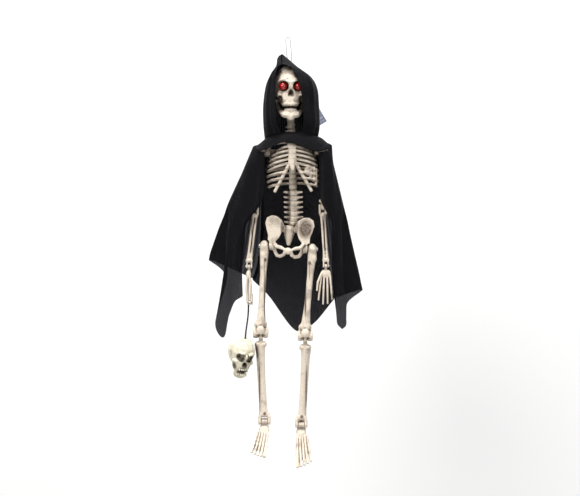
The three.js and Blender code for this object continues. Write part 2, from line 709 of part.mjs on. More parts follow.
function shinBones(name, side, group) {
  const { sign, ankleAt } = side;
  const plateau = [0, 0, -12.4];
  const ankleBlock = plus(ankleAt, [0, 0, 7]);
  const shape = joined(
    disc([0, 0, 0], kneeTongue, 3.9, 8),
    block([-kneeTongue, -2.4, -12], [kneeTongue, 2.4, -1]),
    ball(plateau, [6.4, 5, 3.4], 7, 5),
    turned(ankleBlock, plateau, [[0, 4], [0.1, 3.2], [0.5, 2.9], [0.85, 3.7], [1, 4.6]], 7),
    turned(
      plus(ankleBlock, [sign * 3.6, 1, 0]),
      [sign * 4.2, 2, -14],
      [[0, 1.7], [0.12, 1.05], [0.88, 1.05], [1, 1.9]],
      5,
    ),
    ball(ankleBlock, [5.9, 3.8, 3], 7, 5),
    ears(ankleAt, ankleEars, 3.3, 6),
  );
  piece(name, cut(shape, pinHole([0, 0, 0], kneePin), pinHole(ankleAt, anklePin)), bonePlastic, group);
}

function foot(name, side, group) {
  const { sign, footDrop, toeOut } = side;
  const splay = Math.tan(THREE.MathUtils.degToRad(toeOut));
  const toes = [-5.6, -2.7, 0.1, 2.9, 5.8].map((x, i) => {
    const big = i === 0;
    const reach = [1, 0.98, 0.945, 0.9, 0.84][i] * footLength;
    const across = sign * x;
    const at = (spread, y, z) => [across * spread + splay * y, -y, z];
    const ball1 = at(1.05, reach * 0.66, -8.6);
    return [
      rod(at(0.7, 9, -6), ball1, 2, big ? 1.9 : 1.5, 5),
      rod(ball1, at(1.2, reach, -9.6), big ? 2.1 : 1.6, big ? 1.6 : 1.2, 5),
    ];
  });
  const upper = joined(
    ball([0, -5, -5.6], [5.6, 7.5, 3.4], 7, 5),
    ball([0, 6.5, -6.6], [3.8, 5.2, 4.2], 9, 6),
    block([-ankleTongue, -2.8, -6], [ankleTongue, 2.8, 0]),
    disc([0, 0, 0], ankleTongue, 3.1, 8),
    toes,
  );
  const earRoom = [-1, 1].map((s) => disc([s * 5.2, 0, 0], 5.2 - ankleTongue, 4.1, 8));
  const mesh = piece(name, cut(upper, earRoom, pinHole([0, 0, 0], anklePin)), bonePlastic, group);
  mesh.rotation.x = THREE.MathUtils.degToRad(footDrop);
}

// ---- small skull on its cord, in a frame at its crown ----
function smallSkull(group, at) {
  const [x, y, z] = [smallSkullWidth / 2, smallSkullDepth / 2, smallSkullHeight / 2];
  const shell = ball([0, 2, -z * 0.72], [x, y, z * 0.72], 12, 8);
  const face = ball([0, -5, -z * 1.15], [x * 0.74, y * 0.62, z * 0.62], 10, 8);
  const chin = ball([0, -7, -smallSkullHeight + 5.4], [x * 0.55, 6, 5.4], 7, 5);
  const cheeks = [-1, 1].map((s) => ball([s * 8, -7, -z * 1.12], [3.4, 4.4, 3], 7, 5));
  const sockets = [-1, 1].map((s) => ball([s * 5.4, -13.2, -z * 0.88], [4.5, 6, 4.1], 7, 5));
  const nose = rod([0, -18, -z * 1.22], [0, -8, -z * 1.14], 2, 1.3, 6);
  const mouth = block([-6, -20, -z * 1.62], [6, -10.5, -z * 1.56]);
  const wall = smallSkullWall;
  const hollow = [
    ball([0, 4.2, -z * 0.72], [x - wall, y - wall - 1.9, z * 0.72 - wall], 10, 8),
    ball([0, -2, -z * 1.15], [x * 0.56, y * 0.34, z * 0.5], 8, 6),
    rod([0, 0, -6], [0, 0, 3], smallCordHole, smallCordHole, 8),
  ];
  const body = cut(joined(shell, face, chin, cheeks), sockets, nose, mouth, hollow);
  const mesh = piece("small_skull", body, skullCream, group, at);
  mesh.rotation.set(THREE.MathUtils.degToRad(14), THREE.MathUtils.degToRad(9), THREE.MathUtils.degToRad(24), "ZYX");
}

// ---- cape, in the figure's frame: rows of points from the top down ----
const hoodRows = [
  [[-6, -17, -29], [-7.5, -8, -23.5], [-7.4, 1, -17.6], [-6.4, 9, -19.6], [-2, 19, -27.5],
    [1.5, 11, -25], [3.4, 2, -26.4], [1.8, -8, -28.2], [-1.6, -17, -29.6]],
  [[-9, -18.5, -36], [-14, -12.5, -33.5], [-16, 0, -31.5], [-13, 14, -31.5], [0, 23, -35],
    [13, 14, -35.5], [14.5, 1, -34.6], [11.5, -13.5, -35], [3.5, -18.5, -36.5]],
  [[-14.5, -19.5, -48], [-21, -12.5, -47], [-25, 0, -48], [-19.5, 17, -47], [1, 27, -47],
    [20.5, 18, -48], [25.6, 1, -50], [19.5, -14.5, -50], [10.6, -22.5, -50]],
  [[-15.5, -20, -68], [-23, -13, -68], [-27.5, 0, -68], [-21, 18, -66], [1, 28, -66],
    [22, 18, -67], [27.6, 1, -69], [22, -12, -69], [14, -20.5, -68]],
  [[-14.5, -19.5, -86], [-22, -12.5, -86], [-27.5, 1, -86], [-21, 17, -86], [1, 25, -86],
    [22, 17, -86], [28.4, 1, -88], [23, -11, -87], [13, -18.5, -86]],
  [[-9, -15, -94], [-18, -10, -96.5], [-25.5, 3, -100], [-19, 15.5, -99.5], [1, 21, -97],
    [20, 15.5, -96.5], [26.5, 3, -96.5], [19, -9, -95], [10, -14.5, -93.6]],
];
const yokeRows = [
  [[-24, 8, -102.2], [-17, -1, -99.2], [-9, -7, -97.4], [1, -9.5, -97], [10, -7, -97.2], [19, -1, -98.4], [25, 7.5, -99]],
  [[-31, 3.5, -105.6], [-23, -8, -105.2], [-11, -14.5, -102], [0, -17, -101.2], [13, -14.5, -102.4], [24, -7, -103.2], [32, 4, -101.6]],
  [[-36, -3, -112.6], [-27, -12.5, -114.5], [-12, -18.5, -108], [-1, -20, -107], [13, -19, -112.4], [27, -11.5, -115.5], [38, -2, -109.6]],
];
const rightWingRows = [
  [[-27, -8.5, -117.4], [-32, -6.5, -116.4], [-36.5, -2.5, -114.4], [-38.5, 3, -111], [-37, 6, -109.4], [-34.5, 9, -108.4], [-27, 15, -106]],
  [[-26, -8.5, -131], [-34, -8, -131], [-42, -4, -131], [-46, 1, -131], [-46.5, 5, -130.5], [-44, 10, -130], [-28, 18.5, -129]],
  [[-28, -8.6, -163], [-38, -8, -168], [-50, -4, -169], [-56.5, 1, -168], [-61, 6, -166], [-59, 12, -165], [-29, 20, -166]],
  [[-43.5, -6, -186], [-47.5, -5.5, -189], [-54, -3, -192], [-59.5, 1.5, -187], [-63.5, 7, -184], [-65.5, 12.5, -180], [-29.5, 20.5, -183]],
  [[-46, -3.5, -205], [-51, -4, -212], [-58, -2, -220], [-62, 2, -208], [-66, 8, -202], [-71.5, 13, -194], [-30, 21, -200]],
  [[-48.5, 0, -232], [-55, -1, -245], [-62, 0, -265], [-68, 2, -250], [-65, 9, -224], [-77.5, 14, -211], [-33, 21, -226]],
  [[-48, 3, -259], [-58.5, 1, -268], [-67, 1, -300], [-75.5, 4, -284], [-65.5, 10, -240], [-82, 15, -223], [-38, 21, -243]],
];
const leftWingRows = [
  [[28, -8.5, -118], [33.5, -6.5, -116.6], [38.5, -2.5, -114], [41.4, 3, -110], [39.5, 6.5, -107.4], [36, 9.5, -105.4], [28, 14.5, -103.6]],
  [[28, -8.5, -131], [34, -8, -131], [40.5, -4, -130.5], [42.5, 1, -130], [43, 5, -130], [42, 10, -129], [29, 18.5, -128]],
  [[28.5, -8.5, -161], [36.5, -8, -166], [43.5, -4.5, -168], [48, 1, -166], [51, 6, -165], [50, 12, -164], [31, 20, -165]],
  [[39.5, -6, -184], [42, -5.5, -187], [45, -3, -189], [49, 1.5, -185], [52.5, 7, -184], [54, 12.5, -180], [32.5, 20.6, -184]],
  [[40, -3.2, -201], [42.5, -4, -205], [46, -2, -208], [50, 2, -205], [54, 8, -203], [58, 13, -196], [34, 21, -202]],
  [[41, 5, -232], [44, 3, -250], [48, 0, -256], [52, 3, -252], [56, 9, -240], [66, 14, -228], [38, 21, -234]],
  [[43.5, 6, -259], [46.5, 4, -284], [51, 2, -292], [54.5, 5, -287], [57.5, 10, -266], [71, 14, -253], [42.5, 21, -263]],
];
const backRows = [
  [[-26, 15, -106], [-14, 18, -100.5], [0, 21.6, -98.6], [14, 18, -99], [27, 14.6, -103]],
  [[-27, 18.6, -129], [-14, 20, -130], [0, 20.6, -130], [14, 20, -130], [28, 18.6, -128]],
  [[-28, 20, -166], [-14, 20.8, -168], [0, 21, -170], [14, 20.8, -168], [30, 20, -165]],
  [[-29, 21, -200], [-16, 20.5, -208], [0, 21.4, -214], [16, 20.5, -212], [33, 21, -202]],
  [[-32, 21, -226], [-18, 20, -240], [2, 21.6, -256], [20, 20, -250], [37, 21, -234]],
  [[-37, 21, -243], [-22, 20, -260], [4, 21, -294], [22, 20, -288], [41.5, 21, -263]],
];

const hoodDrawnFor = 36; // the skull width these rows of the hood were laid out round
function cape() {
  const ease = skullWidth / hoodDrawnFor;
  const fitted = hoodRows.map((row) => row.map(([x, y, z]) => [x * ease, y, z]));
  const sheets = [
    ["cape_hood", fitted, 14, 8],
    ["cape_yoke", yokeRows, 10, 3],
    ["cape_wing_right", rightWingRows, 10, 10],
    ["cape_wing_left", leftWingRows, 10, 10],
    ["cape_back", backRows, 5, 6],
  ];
  for (const [name, rows, across, downSteps] of sheets) {
    piece(name, cloth(rows, across, downSteps), blackCloth, figure);
  }
}

// ---- swing tag, in a frame at its hole ----
const tagAt = [12.5, 29.6, -61.5];
const tagLean = 31; // degrees about Y, from hanging straight
function swingTag(group) {
  const [width, height, thickness] = tagSize;
  const corner = 3;
  const outline = [
    [-width / 2 + corner, 4], [-width / 2, 4 - corner], [-width / 2, 4 - height],
    [width / 2, 4 - height], [width / 2, 4 - corner], [width / 2 - corner, 4],
  ];
  const card = plate(outline, -thickness / 2, thickness);
  const hole = rod([0, -5, 0], [0, 5, 0], 1.5, 1.5, 6);
  const mesh = piece("hang_tag", cut(card, hole), tagCard, group);
  mesh.rotation.y = THREE.MathUtils.degToRad(-tagLean);
  const barb = joined(
    rod([0, -1, 0], [0, 1.4, 0], 0.6, 0.6, 6),
    rod([0, 1.2, 0], [0, 1.8, 0], 2.4, 2.4, 6),
    rod([-1.4, -1, 0], [1.4, -1, 0], 0.55, 0.55, 6),
  );
  piece("tag_fastener", barb, clearNylon, group);
}

// ---- assembly ----
function arm(name, side, hand) {
  const { sign, shoulder, elbowAt, wristAt } = side;
  const upper = groupAt(figure, shoulder);
  upperArmBone("humerus_" + name, side, upper);
  const screw = pinAcross([0, 0, 0], sign, -lugHalf - gap - bossLength + 0.6, lugHalf + gap, screwRadius, screwHead, 1.4);
  piece("shoulder_screw_" + name, screw, steel, figure, shoulder);
  const lower = groupAt(upper, elbowAt);
  foreArmBone("forearm_" + name, side, lower);
  const elbow = pinAcross([0, 0, 0], sign, -elbowEars[1], elbowEars[1] + gap, elbowPin, 1.7, 0.8);
  piece("elbow_pin_" + name, elbow, steel, lower);
  const wrist = groupAt(lower, wristAt);
  hand(wrist);
  const wristShank = pinAcross([0, 0, 0], sign, -wristEars[1], wristEars[1] + gap, wristPin, 1.2, 0.6);
  piece("wrist_pin_" + name, wristShank, steel, lower, wristAt);
  return wrist;
}

function leg(name, side) {
  const { sign, hip, kneeAt, ankleAt } = side;
  const upper = groupAt(figure, hip);
  thighBone("femur_" + name, side, upper);
  const screw = pinAcross([0, 0, 0], sign, -hipLugHalf - gap - 4, hipLugHalf + gap, screwRadius, screwHead, 1.4);
  piece("hip_screw_" + name, screw, steel, figure, hip);
  const lower = groupAt(upper, kneeAt);
  shinBones("shin_" + name, side, lower);
  const knee = pinAcross([0, 0, 0], sign, -condyles[1] + 0.4, condyles[1] - 0.4, kneePin, kneePin, 0);
  piece("knee_pin_" + name, knee, steel, upper, kneeAt);
  const ankle = groupAt(lower, ankleAt);
  foot("foot_" + name, side, ankle);
  const shank = pinAcross([0, 0, 0], sign, -ankleEars[1] + 0.3, ankleEars[1] - 0.3, anklePin, anklePin, 0);
  piece("ankle_pin_" + name, shank, steel, lower, ankleAt);
}

hangingLoop();
const head = groupAt(figure, crown);
head.rotation.z = THREE.MathUtils.degToRad(skullYaw);
skull(head);
jaw(head);
neck();
ribcage(groupAt(figure, chestTop));
lumbarSpine();
pelvis();
shoulderPiece("shoulder_right", sides.right);
shoulderPiece("shoulder_left", sides.left);
const grip = arm("right", sides.right, (wrist) => grippingHand("hand_right", wrist));
arm("left", sides.left, (wrist) => openHand("hand_left", 1, wrist));
leg("right", sides.right);
leg("left", sides.left);

const cordTop = [-0.6, 0, gripTip - 1.6];
const cordFoot = plus(cordTop, [-3, -8, -cordLength]);
piece("skull_cord", tube([cordTop, plus(cordTop, [-0.6, -0.6, -7]), plus(cordFoot, [0.6, 0.6, 7]), cordFoot], cordThickness / 2, 8, 8), blackCord, grip);
smallSkull(grip, plus(cordFoot, [0, 0, -gap]));

cape();
swingTag(groupAt(figure, tagAt));

export default root;
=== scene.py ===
import bpy
import json
import math
import numpy as np
from mathutils import Euler, Matrix, Vector


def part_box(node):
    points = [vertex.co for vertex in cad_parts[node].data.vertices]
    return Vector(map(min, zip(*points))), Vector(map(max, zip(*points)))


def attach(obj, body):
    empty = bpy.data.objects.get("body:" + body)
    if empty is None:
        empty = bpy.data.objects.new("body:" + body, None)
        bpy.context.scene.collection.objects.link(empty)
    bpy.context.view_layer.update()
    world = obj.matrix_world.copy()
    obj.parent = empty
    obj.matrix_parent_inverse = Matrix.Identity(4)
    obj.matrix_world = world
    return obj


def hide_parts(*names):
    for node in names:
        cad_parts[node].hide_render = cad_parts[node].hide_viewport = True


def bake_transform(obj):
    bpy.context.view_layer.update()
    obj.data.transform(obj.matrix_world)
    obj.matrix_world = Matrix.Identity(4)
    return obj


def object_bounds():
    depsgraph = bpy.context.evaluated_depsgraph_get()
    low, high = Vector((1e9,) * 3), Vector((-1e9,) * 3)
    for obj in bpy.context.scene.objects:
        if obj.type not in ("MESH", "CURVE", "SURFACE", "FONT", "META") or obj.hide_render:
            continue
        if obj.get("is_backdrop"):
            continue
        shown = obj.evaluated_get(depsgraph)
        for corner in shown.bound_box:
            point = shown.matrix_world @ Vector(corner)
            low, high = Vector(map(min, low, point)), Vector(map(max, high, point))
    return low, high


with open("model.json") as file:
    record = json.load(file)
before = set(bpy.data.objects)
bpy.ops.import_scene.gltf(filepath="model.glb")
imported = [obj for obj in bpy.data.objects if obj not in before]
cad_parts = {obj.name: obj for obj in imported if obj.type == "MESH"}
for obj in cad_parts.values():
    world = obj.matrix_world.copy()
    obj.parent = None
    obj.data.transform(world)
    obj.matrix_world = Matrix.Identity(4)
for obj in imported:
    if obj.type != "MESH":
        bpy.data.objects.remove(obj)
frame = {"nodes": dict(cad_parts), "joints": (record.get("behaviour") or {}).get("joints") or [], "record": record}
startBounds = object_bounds()
nodes = frame["nodes"]
mm = 0.001
shift = Vector((3, -3, 0))  # the figure's middle from under the pin, in mm
print("frame loaded")


# ---- small helpers ----
def inMm(x, y, z):
    return (x * mm, y * mm, z * mm)


def step(x, y, z):  # a move of so many mm
    return Vector((x, y, z)) * mm


def alone(piece):
    bpy.ops.object.select_all(action="DESELECT")
    piece.select_set(True)
    bpy.context.view_layer.objects.active = piece
    return piece


def applyAll(piece):
    alone(piece)
    for modifier in list(piece.modifiers):
        bpy.ops.object.modifier_apply(modifier=modifier.name)
    return piece


def joinInto(piece, extras):
    alone(piece)
    for extra in extras:
        extra.select_set(True)
    bpy.ops.object.join()
    return piece


def settle(piece):  # put the object's own transform into its mesh
    alone(piece)
    bpy.ops.object.transform_apply(location=True, rotation=True, scale=True)
    return piece


def ellipsoid(at, radii, turn=(0, 0, 0), segments=16):  # metres
    bpy.ops.mesh.primitive_uv_sphere_add(segments=segments, ring_count=segments // 2, radius=1)
    ball = bpy.context.active_object
    ball.scale = radii
    ball.rotation_euler = turn
    ball.location = at
    return settle(ball)


def strut(start, end, radius, endRadius=None, sides=12):
    start, end = Vector(start), Vector(end)
    along = end - start
    bpy.ops.mesh.primitive_cone_add(
        vertices=sides, radius1=radius, radius2=radius if endRadius is None else endRadius, depth=along.length
    )
    rod = bpy.context.active_object
    rod.rotation_euler = along.to_track_quat("Z", "Y").to_euler()
    rod.location = (start + end) / 2
    return settle(rod)


def tubeAlong(points, radius, name="tube", resolution=4):  # a smooth round tube as a mesh
    curve = curveAlong(points, radius, name, resolution)
    alone(curve)
    bpy.ops.object.convert(target="MESH")
    return bpy.context.active_object


def curveAlong(points, radius, name, resolution=4):
    data = bpy.data.curves.new(name, "CURVE")
    data.dimensions = "3D"
    data.bevel_depth = radius
    data.bevel_resolution = resolution
    data.use_fill_caps = True
    data.resolution_u = 6
    spline = data.splines.new("POLY")
    line = smoothLine(points, 6)
    spline.points.add(len(line) - 1)
    for target, place in zip(spline.points, line):
        target.co = (*place, 1)
    curve = bpy.data.objects.new(name, data)
    bpy.context.scene.collection.objects.link(curve)
    return curve


def throughPoints(points, t):  # a point on the smooth line through the points, t from 0 to 1
    spans = len(points) - 1
    place = min(max(t, 0), 1) * spans
    i = min(int(place), spans - 1)
    f = place - i
    b, c = Vector(points[i]), Vector(points[i + 1])
    a = Vector(points[i - 1]) if i > 0 else b * 2 - c
    d = Vector(points[i + 2]) if i + 2 <= spans else c * 2 - b
    return 0.5 * (2 * b + (c - a) * f + (2 * a - 5 * b + 4 * c - d) * f * f + (3 * b - a - 3 * c + d) * f ** 3)


def smoothLine(points, perSpan):
    steps = (len(points) - 1) * perSpan
    return [throughPoints(points, i / steps) for i in range(steps + 1)]


def lineLength(points):
    return sum((Vector(b) - Vector(a)).length for a, b in zip(points, points[1:]))


# ---- materials ----
def newMaterial(name):
    material = bpy.data.materials.new(name)
    material.use_nodes = True
    tree = material.node_tree
    return material, tree, tree.nodes["Principled BSDF"]


def addNode(tree, kind, inputs=None, **settings):
    node = tree.nodes.new(kind)
    for key, value in settings.items():
        setattr(node, key, value)
    for key, value in (inputs or {}).items():
        if isinstance(value, bpy.types.NodeSocket):
            tree.links.new(value, node.inputs[key])
        else:
            node.inputs[key].default_value = value
    return node


def ramp(tree, source, low, high, lowValue=0.0, highValue=1.0):
    node = addNode(tree, "ShaderNodeMapRange", {"Value": source, "From Min": low, "From Max": high,
                                                "To Min": lowValue, "To Max": highValue})
    node.interpolation_type = "SMOOTHSTEP"
    return node.outputs["Result"]


def combine(tree, operation, a, b):
    return addNode(tree, "ShaderNodeMath", {0: a, 1: b}, operation=operation, use_clamp=True).outputs[0]


def mixColor(tree, factor, a, b):
    node = tree.nodes.new("ShaderNodeMix")
    node.data_type = "RGBA"
    for socket, value in zip((node.inputs[0], node.inputs[6], node.inputs[7]), (factor, a, b)):
        if isinstance(value, bpy.types.NodeSocket):
            tree.links.new(value, socket)
        else:
            socket.default_value = value
    return node.outputs[2]


# Moulded plastic with brown wiped into its hollows: partly its antique wash, partly painted shade in hollows and
# creases.
def antiqueWashAndShadePlastic(name, pale, brown, reach, depth, stain):
    material, tree, shader = newMaterial(name)
    place = addNode(tree, "ShaderNodeTexCoord").outputs["Object"]
    cloudy = addNode(tree, "ShaderNodeTexNoise", {"Vector": place, "Scale": 90.0, "Detail": 4.0}).outputs["Fac"]
    fine = addNode(tree, "ShaderNodeTexNoise", {"Vector": place, "Scale": 620.0, "Detail": 3.0}).outputs["Fac"]
    # Ambient occlusion and pointiness darken the hollows and creases: painted shade, partly the brown antique
    # wash.
    hollow = addNode(tree, "ShaderNodeAmbientOcclusion", {"Distance": reach}, samples=8).outputs["AO"]
    crease = addNode(tree, "ShaderNodeNewGeometry").outputs["Pointiness"]
    inHollow = ramp(tree, hollow, depth, 0.3)
    inCrease = ramp(tree, crease, 0.495, 0.455, 0.0, 0.9)
    hollowWashAndShade = combine(tree, "MAXIMUM", inHollow, inCrease)
    wipedWashAndShade = combine(tree, "MULTIPLY", hollowWashAndShade, ramp(tree, cloudy, 0.25, 0.62, 0.6, 1.0))
    streak = ramp(tree, cloudy, 0.5, 0.72, 0.0, stain)
    # Brown spots from the painted attribute: partly antique wash, partly painted shade in hollows and between
    # parts.
    painted = addNode(tree, "ShaderNodeAttribute", attribute_name="grime").outputs["Fac"]
    brushedWashAndShade = combine(tree, "MULTIPLY", painted, ramp(tree, fine, 0.3, 0.6, 0.75, 1.0))
    mask = combine(tree, "MAXIMUM", combine(tree, "ADD", wipedWashAndShade, streak), brushedWashAndShade)
    warm = tuple(v * w for v, w in zip(pale, (0.93, 0.87, 0.78, 1)))
    body = mixColor(tree, ramp(tree, fine, 0.35, 0.7), pale, warm)
    tree.links.new(mixColor(tree, mask, body, brown), shader.inputs["Base Color"])
    tree.links.new(ramp(tree, fine, 0.3, 0.7, 0.48, 0.62), shader.inputs["Roughness"])
    shader.inputs["Specular IOR Level"].default_value = 0.4
    bump = addNode(tree, "ShaderNodeBump", {"Height": fine, "Strength": 0.12, "Distance": 0.0003})
    tree.links.new(bump.outputs["Normal"], shader.inputs["Normal"])
    return material


# Sheer woven cloth: its UVs are metres of flat cloth, and "hiding" says how much it covers.
def sheerCloth(name):
    material, tree, shader = newMaterial(name)
    output = tree.nodes["Material Output"]
    flat = addNode(tree, "ShaderNodeUVMap", uv_map="flat").outputs["UV"]
    warp = addNode(tree, "ShaderNodeTexWave", {"Vector": flat, "Scale": 260.0, "Distortion": 0.6},
                   bands_direction="X")
    weft = addNode(tree, "ShaderNodeTexWave", {"Vector": flat, "Scale": 260.0, "Distortion": 0.6},
                   bands_direction="Y")
    weave = combine(tree, "MAXIMUM", warp.outputs["Fac"], weft.outputs["Fac"])
    uneven = addNode(tree, "ShaderNodeTexNoise", {"Vector": flat, "Scale": 45.0, "Detail": 3.0}).outputs["Fac"]
    density = addNode(tree, "ShaderNodeAttribute", attribute_name="hiding").outputs["Fac"]
    dark = mixColor(tree, uneven, (0.0028, 0.0026, 0.0036, 1), (0.0055, 0.0052, 0.007, 1))
    tree.links.new(dark, shader.inputs["Base Color"])
    shader.inputs["Roughness"].default_value = 0.85
    shader.inputs["Specular IOR Level"].default_value = 0.12
    shader.inputs["Sheen Weight"].default_value = 0.05
    shader.inputs["Sheen Roughness"].default_value = 0.45
    shader.inputs["Sheen Tint"].default_value = (0.4, 0.39, 0.45, 1)
    bump = addNode(tree, "ShaderNodeBump", {"Height": weave, "Strength": 0.3, "Distance": 0.0002})
    tree.links.new(bump.outputs["Normal"], shader.inputs["Normal"])
    cover = combine(tree, "MULTIPLY", density, ramp(tree, weave, 0.0, 1.0, 0.86, 1.06))
    through = addNode(tree, "ShaderNodeBsdfTransparent", {"Color": (0.88, 0.87, 0.92, 1)})
    blend = addNode(tree, "ShaderNodeMixShader", {0: cover, 1: through.outputs[0], 2: shader.outputs[0]})
    tree.links.new(blend.outputs[0], output.inputs["Surface"])
    return material


def redAcrylic():
    material, tree, shader = newMaterial("redAcrylic")
    place = addNode(tree, "ShaderNodeTexCoord").outputs["Object"]
    swirl = addNode(tree, "ShaderNodeTexNoise", {"Vector": place, "Scale": 260.0, "Detail": 2.0}).outputs["Fac"]
    red = mixColor(tree, swirl, (0.50, 0.003, 0.005, 1), (0.26, 0.001, 0.003, 1))
    tree.links.new(red, shader.inputs["Base Color"])
    shader.inputs["Roughness"].default_value = 0.06
    shader.inputs["Coat Weight"].default_value = 1.0
    shader.inputs["Coat Roughness"].default_value = 0.03
    return material


def clearNylon():
    material, tree, shader = newMaterial("clearNylon")
    place = addNode(tree, "ShaderNodeTexCoord").outputs["Object"]
    haze = addNode(tree, "ShaderNodeTexNoise", {"Vector": place, "Scale": 400.0}).outputs["Fac"]
    shader.inputs["Base Color"].default_value = (0.46, 0.47, 0.49, 1)
    shader.inputs["Transmission Weight"].default_value = 0.2
    shader.inputs["IOR"].default_value = 1.5
    tree.links.new(ramp(tree, haze, 0.3, 0.7, 0.15, 0.35), shader.inputs["Roughness"])
    return material


def steel():
    material, tree, shader = newMaterial("steel")
    place = addNode(tree, "ShaderNodeTexCoord").outputs["Object"]
    scratch = addNode(tree, "ShaderNodeTexNoise",
                      {"Vector": place, "Scale": 900.0, "Detail": 4.0}).outputs["Fac"]
    grey = mixColor(tree, scratch, (0.5, 0.49, 0.47, 1), (0.62, 0.61, 0.6, 1))
    tree.links.new(grey, shader.inputs["Base Color"])
    shader.inputs["Metallic"].default_value = 1.0
    tree.links.new(ramp(tree, scratch, 0.3, 0.7, 0.25, 0.42), shader.inputs["Roughness"])
    return material


def twistedCord():
    material, tree, shader = newMaterial("twistedCord")
    place = addNode(tree, "ShaderNodeTexCoord").outputs["Object"]
    turned = addNode(tree, "ShaderNodeMapping",
                     {"Vector": place, "Rotation": (0.0, 0.6, 0.5)}).outputs["Vector"]
    strands = addNode(tree, "ShaderNodeTexWave", {"Vector": turned, "Scale": 330.0, "Distortion": 0.4},
                      bands_direction="Z").outputs["Fac"]
    tree.links.new(mixColor(tree, strands, (0.004, 0.004, 0.004, 1), (0.022, 0.021, 0.022, 1)),
                   shader.inputs["Base Color"])
    shader.inputs["Roughness"].default_value = 0.8
    bump = addNode(tree, "ShaderNodeBump", {"Height": strands, "Strength": 0.7, "Distance": 0.0003})
    tree.links.new(bump.outputs["Normal"], shader.inputs["Normal"])
    return material


def cardBoard(name, tone, second):
    material, tree, shader = newMaterial(name)
    place = addNode(tree, "ShaderNodeTexCoord").outputs["Object"]
    fibre = addNode(tree, "ShaderNodeTexNoise", {"Vector": place, "Scale": 300.0, "Detail": 5.0}).outputs["Fac"]
    tree.links.new(mixColor(tree, fibre, tone, second), shader.inputs["Base Color"])
    shader.inputs["Roughness"].default_value = 0.5
    bump = addNode(tree, "ShaderNodeBump", {"Height": fibre, "Strength": 0.1, "Distance": 0.0002})
    tree.links.new(bump.outputs["Normal"], shader.inputs["Normal"])
    return material


boneFinish = antiqueWashAndShadePlastic("bonePlastic", (0.80, 0.72, 0.62, 1), (0.060, 0.028, 0.014, 1), 0.008, 0.95, 0.46)
creamFinish = antiqueWashAndShadePlastic("skullCream", (0.80, 0.77, 0.62, 1), (0.026, 0.011, 0.005, 1), 0.008, 0.95, 0.4)
finishes = {
    "bone_plastic": boneFinish,
    "skull_cream": creamFinish,
    "red_acrylic": redAcrylic(),
    "black_voile": sheerCloth("sheerCloth"),
    "clear_nylon": clearNylon(),
    "black_cord": twistedCord(),
    "pin_steel": steel(),
    "tag_card": cardBoard("tagCard", (0.27, 0.28, 0.40, 1), (0.32, 0.33, 0.46, 1)),
}
paleInk = cardBoard("paleInk", (0.55, 0.58, 0.62, 1), (0.48, 0.52, 0.57, 1))


def bodyOf(node):
    return next(name for name, members in frame["record"]["behaviour"]["bodies"].items() if node in members)


def mount(piece, body, slot, *replaced):
    if not piece.data.materials:
        piece.data.materials.append(finishes[slot])
    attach(piece, body)
    if replaced:
        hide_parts(*replaced)
    return piece


slotOf = {entry["node"]: entry["material_slot"] for entry in frame["record"]["subparts"]}
for node, cadPiece in nodes.items():
    cadPiece.data.materials.clear()
    cadPiece.data.materials.append(finishes[slotOf[node]])
print("materials made")


# ---- bones ----
# The moulded shape of a node: its own mesh with added detail, melted into one skin.
bone = dict(voxel=0.42, smoothing=4, grain=0.14, grainSize=2.2)


def placesOf(piece):
    places = np.zeros(len(piece.data.vertices) * 3, np.float32)
    piece.data.vertices.foreach_get("co", places)
    return places.reshape(-1, 3)


# Brown spots round given places: partly the antique wash, partly painted shade in hollows and gaps between parts.
def paintWashAndShade(piece, spots):  # brown brushed on round each (place, radii, strength)
    places = placesOf(piece)
    grime = np.zeros(len(places), np.float32)
    for at, radii, strength in spots:
        away = np.sqrt((((places - np.array(at)) / np.array(radii)) ** 2).sum(1))
        grime = np.maximum(grime, strength * np.clip((1.25 - away) / 0.5, 0, 1))
    layer = piece.data.attributes.new("grime", "FLOAT", "POINT")
    layer.data.foreach_set("value", grime)


def roundHead(piece, joint):  # draw the corners round the joint into a ball
    offset = placesOf(piece) - joint
    near = offset[:, 2] > -8 * mm
    half = np.abs(offset[near & (offset[:, 2] > -4 * mm)][:, :2]).max(0)
    radii = np.array([half[0], half[1], offset[near][:, 2].max()])
    upward = offset * np.array([1, 1, 0]) + np.maximum(offset, 0) * np.array([0, 0, 1])
    away = np.sqrt(((upward / radii) ** 2).sum(1))
    pull = np.where(near & (away > 1), 1 / np.maximum(away, 1), 1)
    fade = np.clip((offset[:, 2] + 8 * mm) / (8 * mm), 0, 1)
    places = joint + offset * (1 + (pull - 1) * fade)[:, None]
    piece.data.vertices.foreach_set("co", places.astype(np.float32).ravel())
    piece.data.update()


def meltSkin(piece, voxel):  # remake the mesh as one closed skin
    melt = piece.modifiers.new("melt", "REMESH")
    melt.mode = "VOXEL"
    melt.voxel_size = voxel * mm


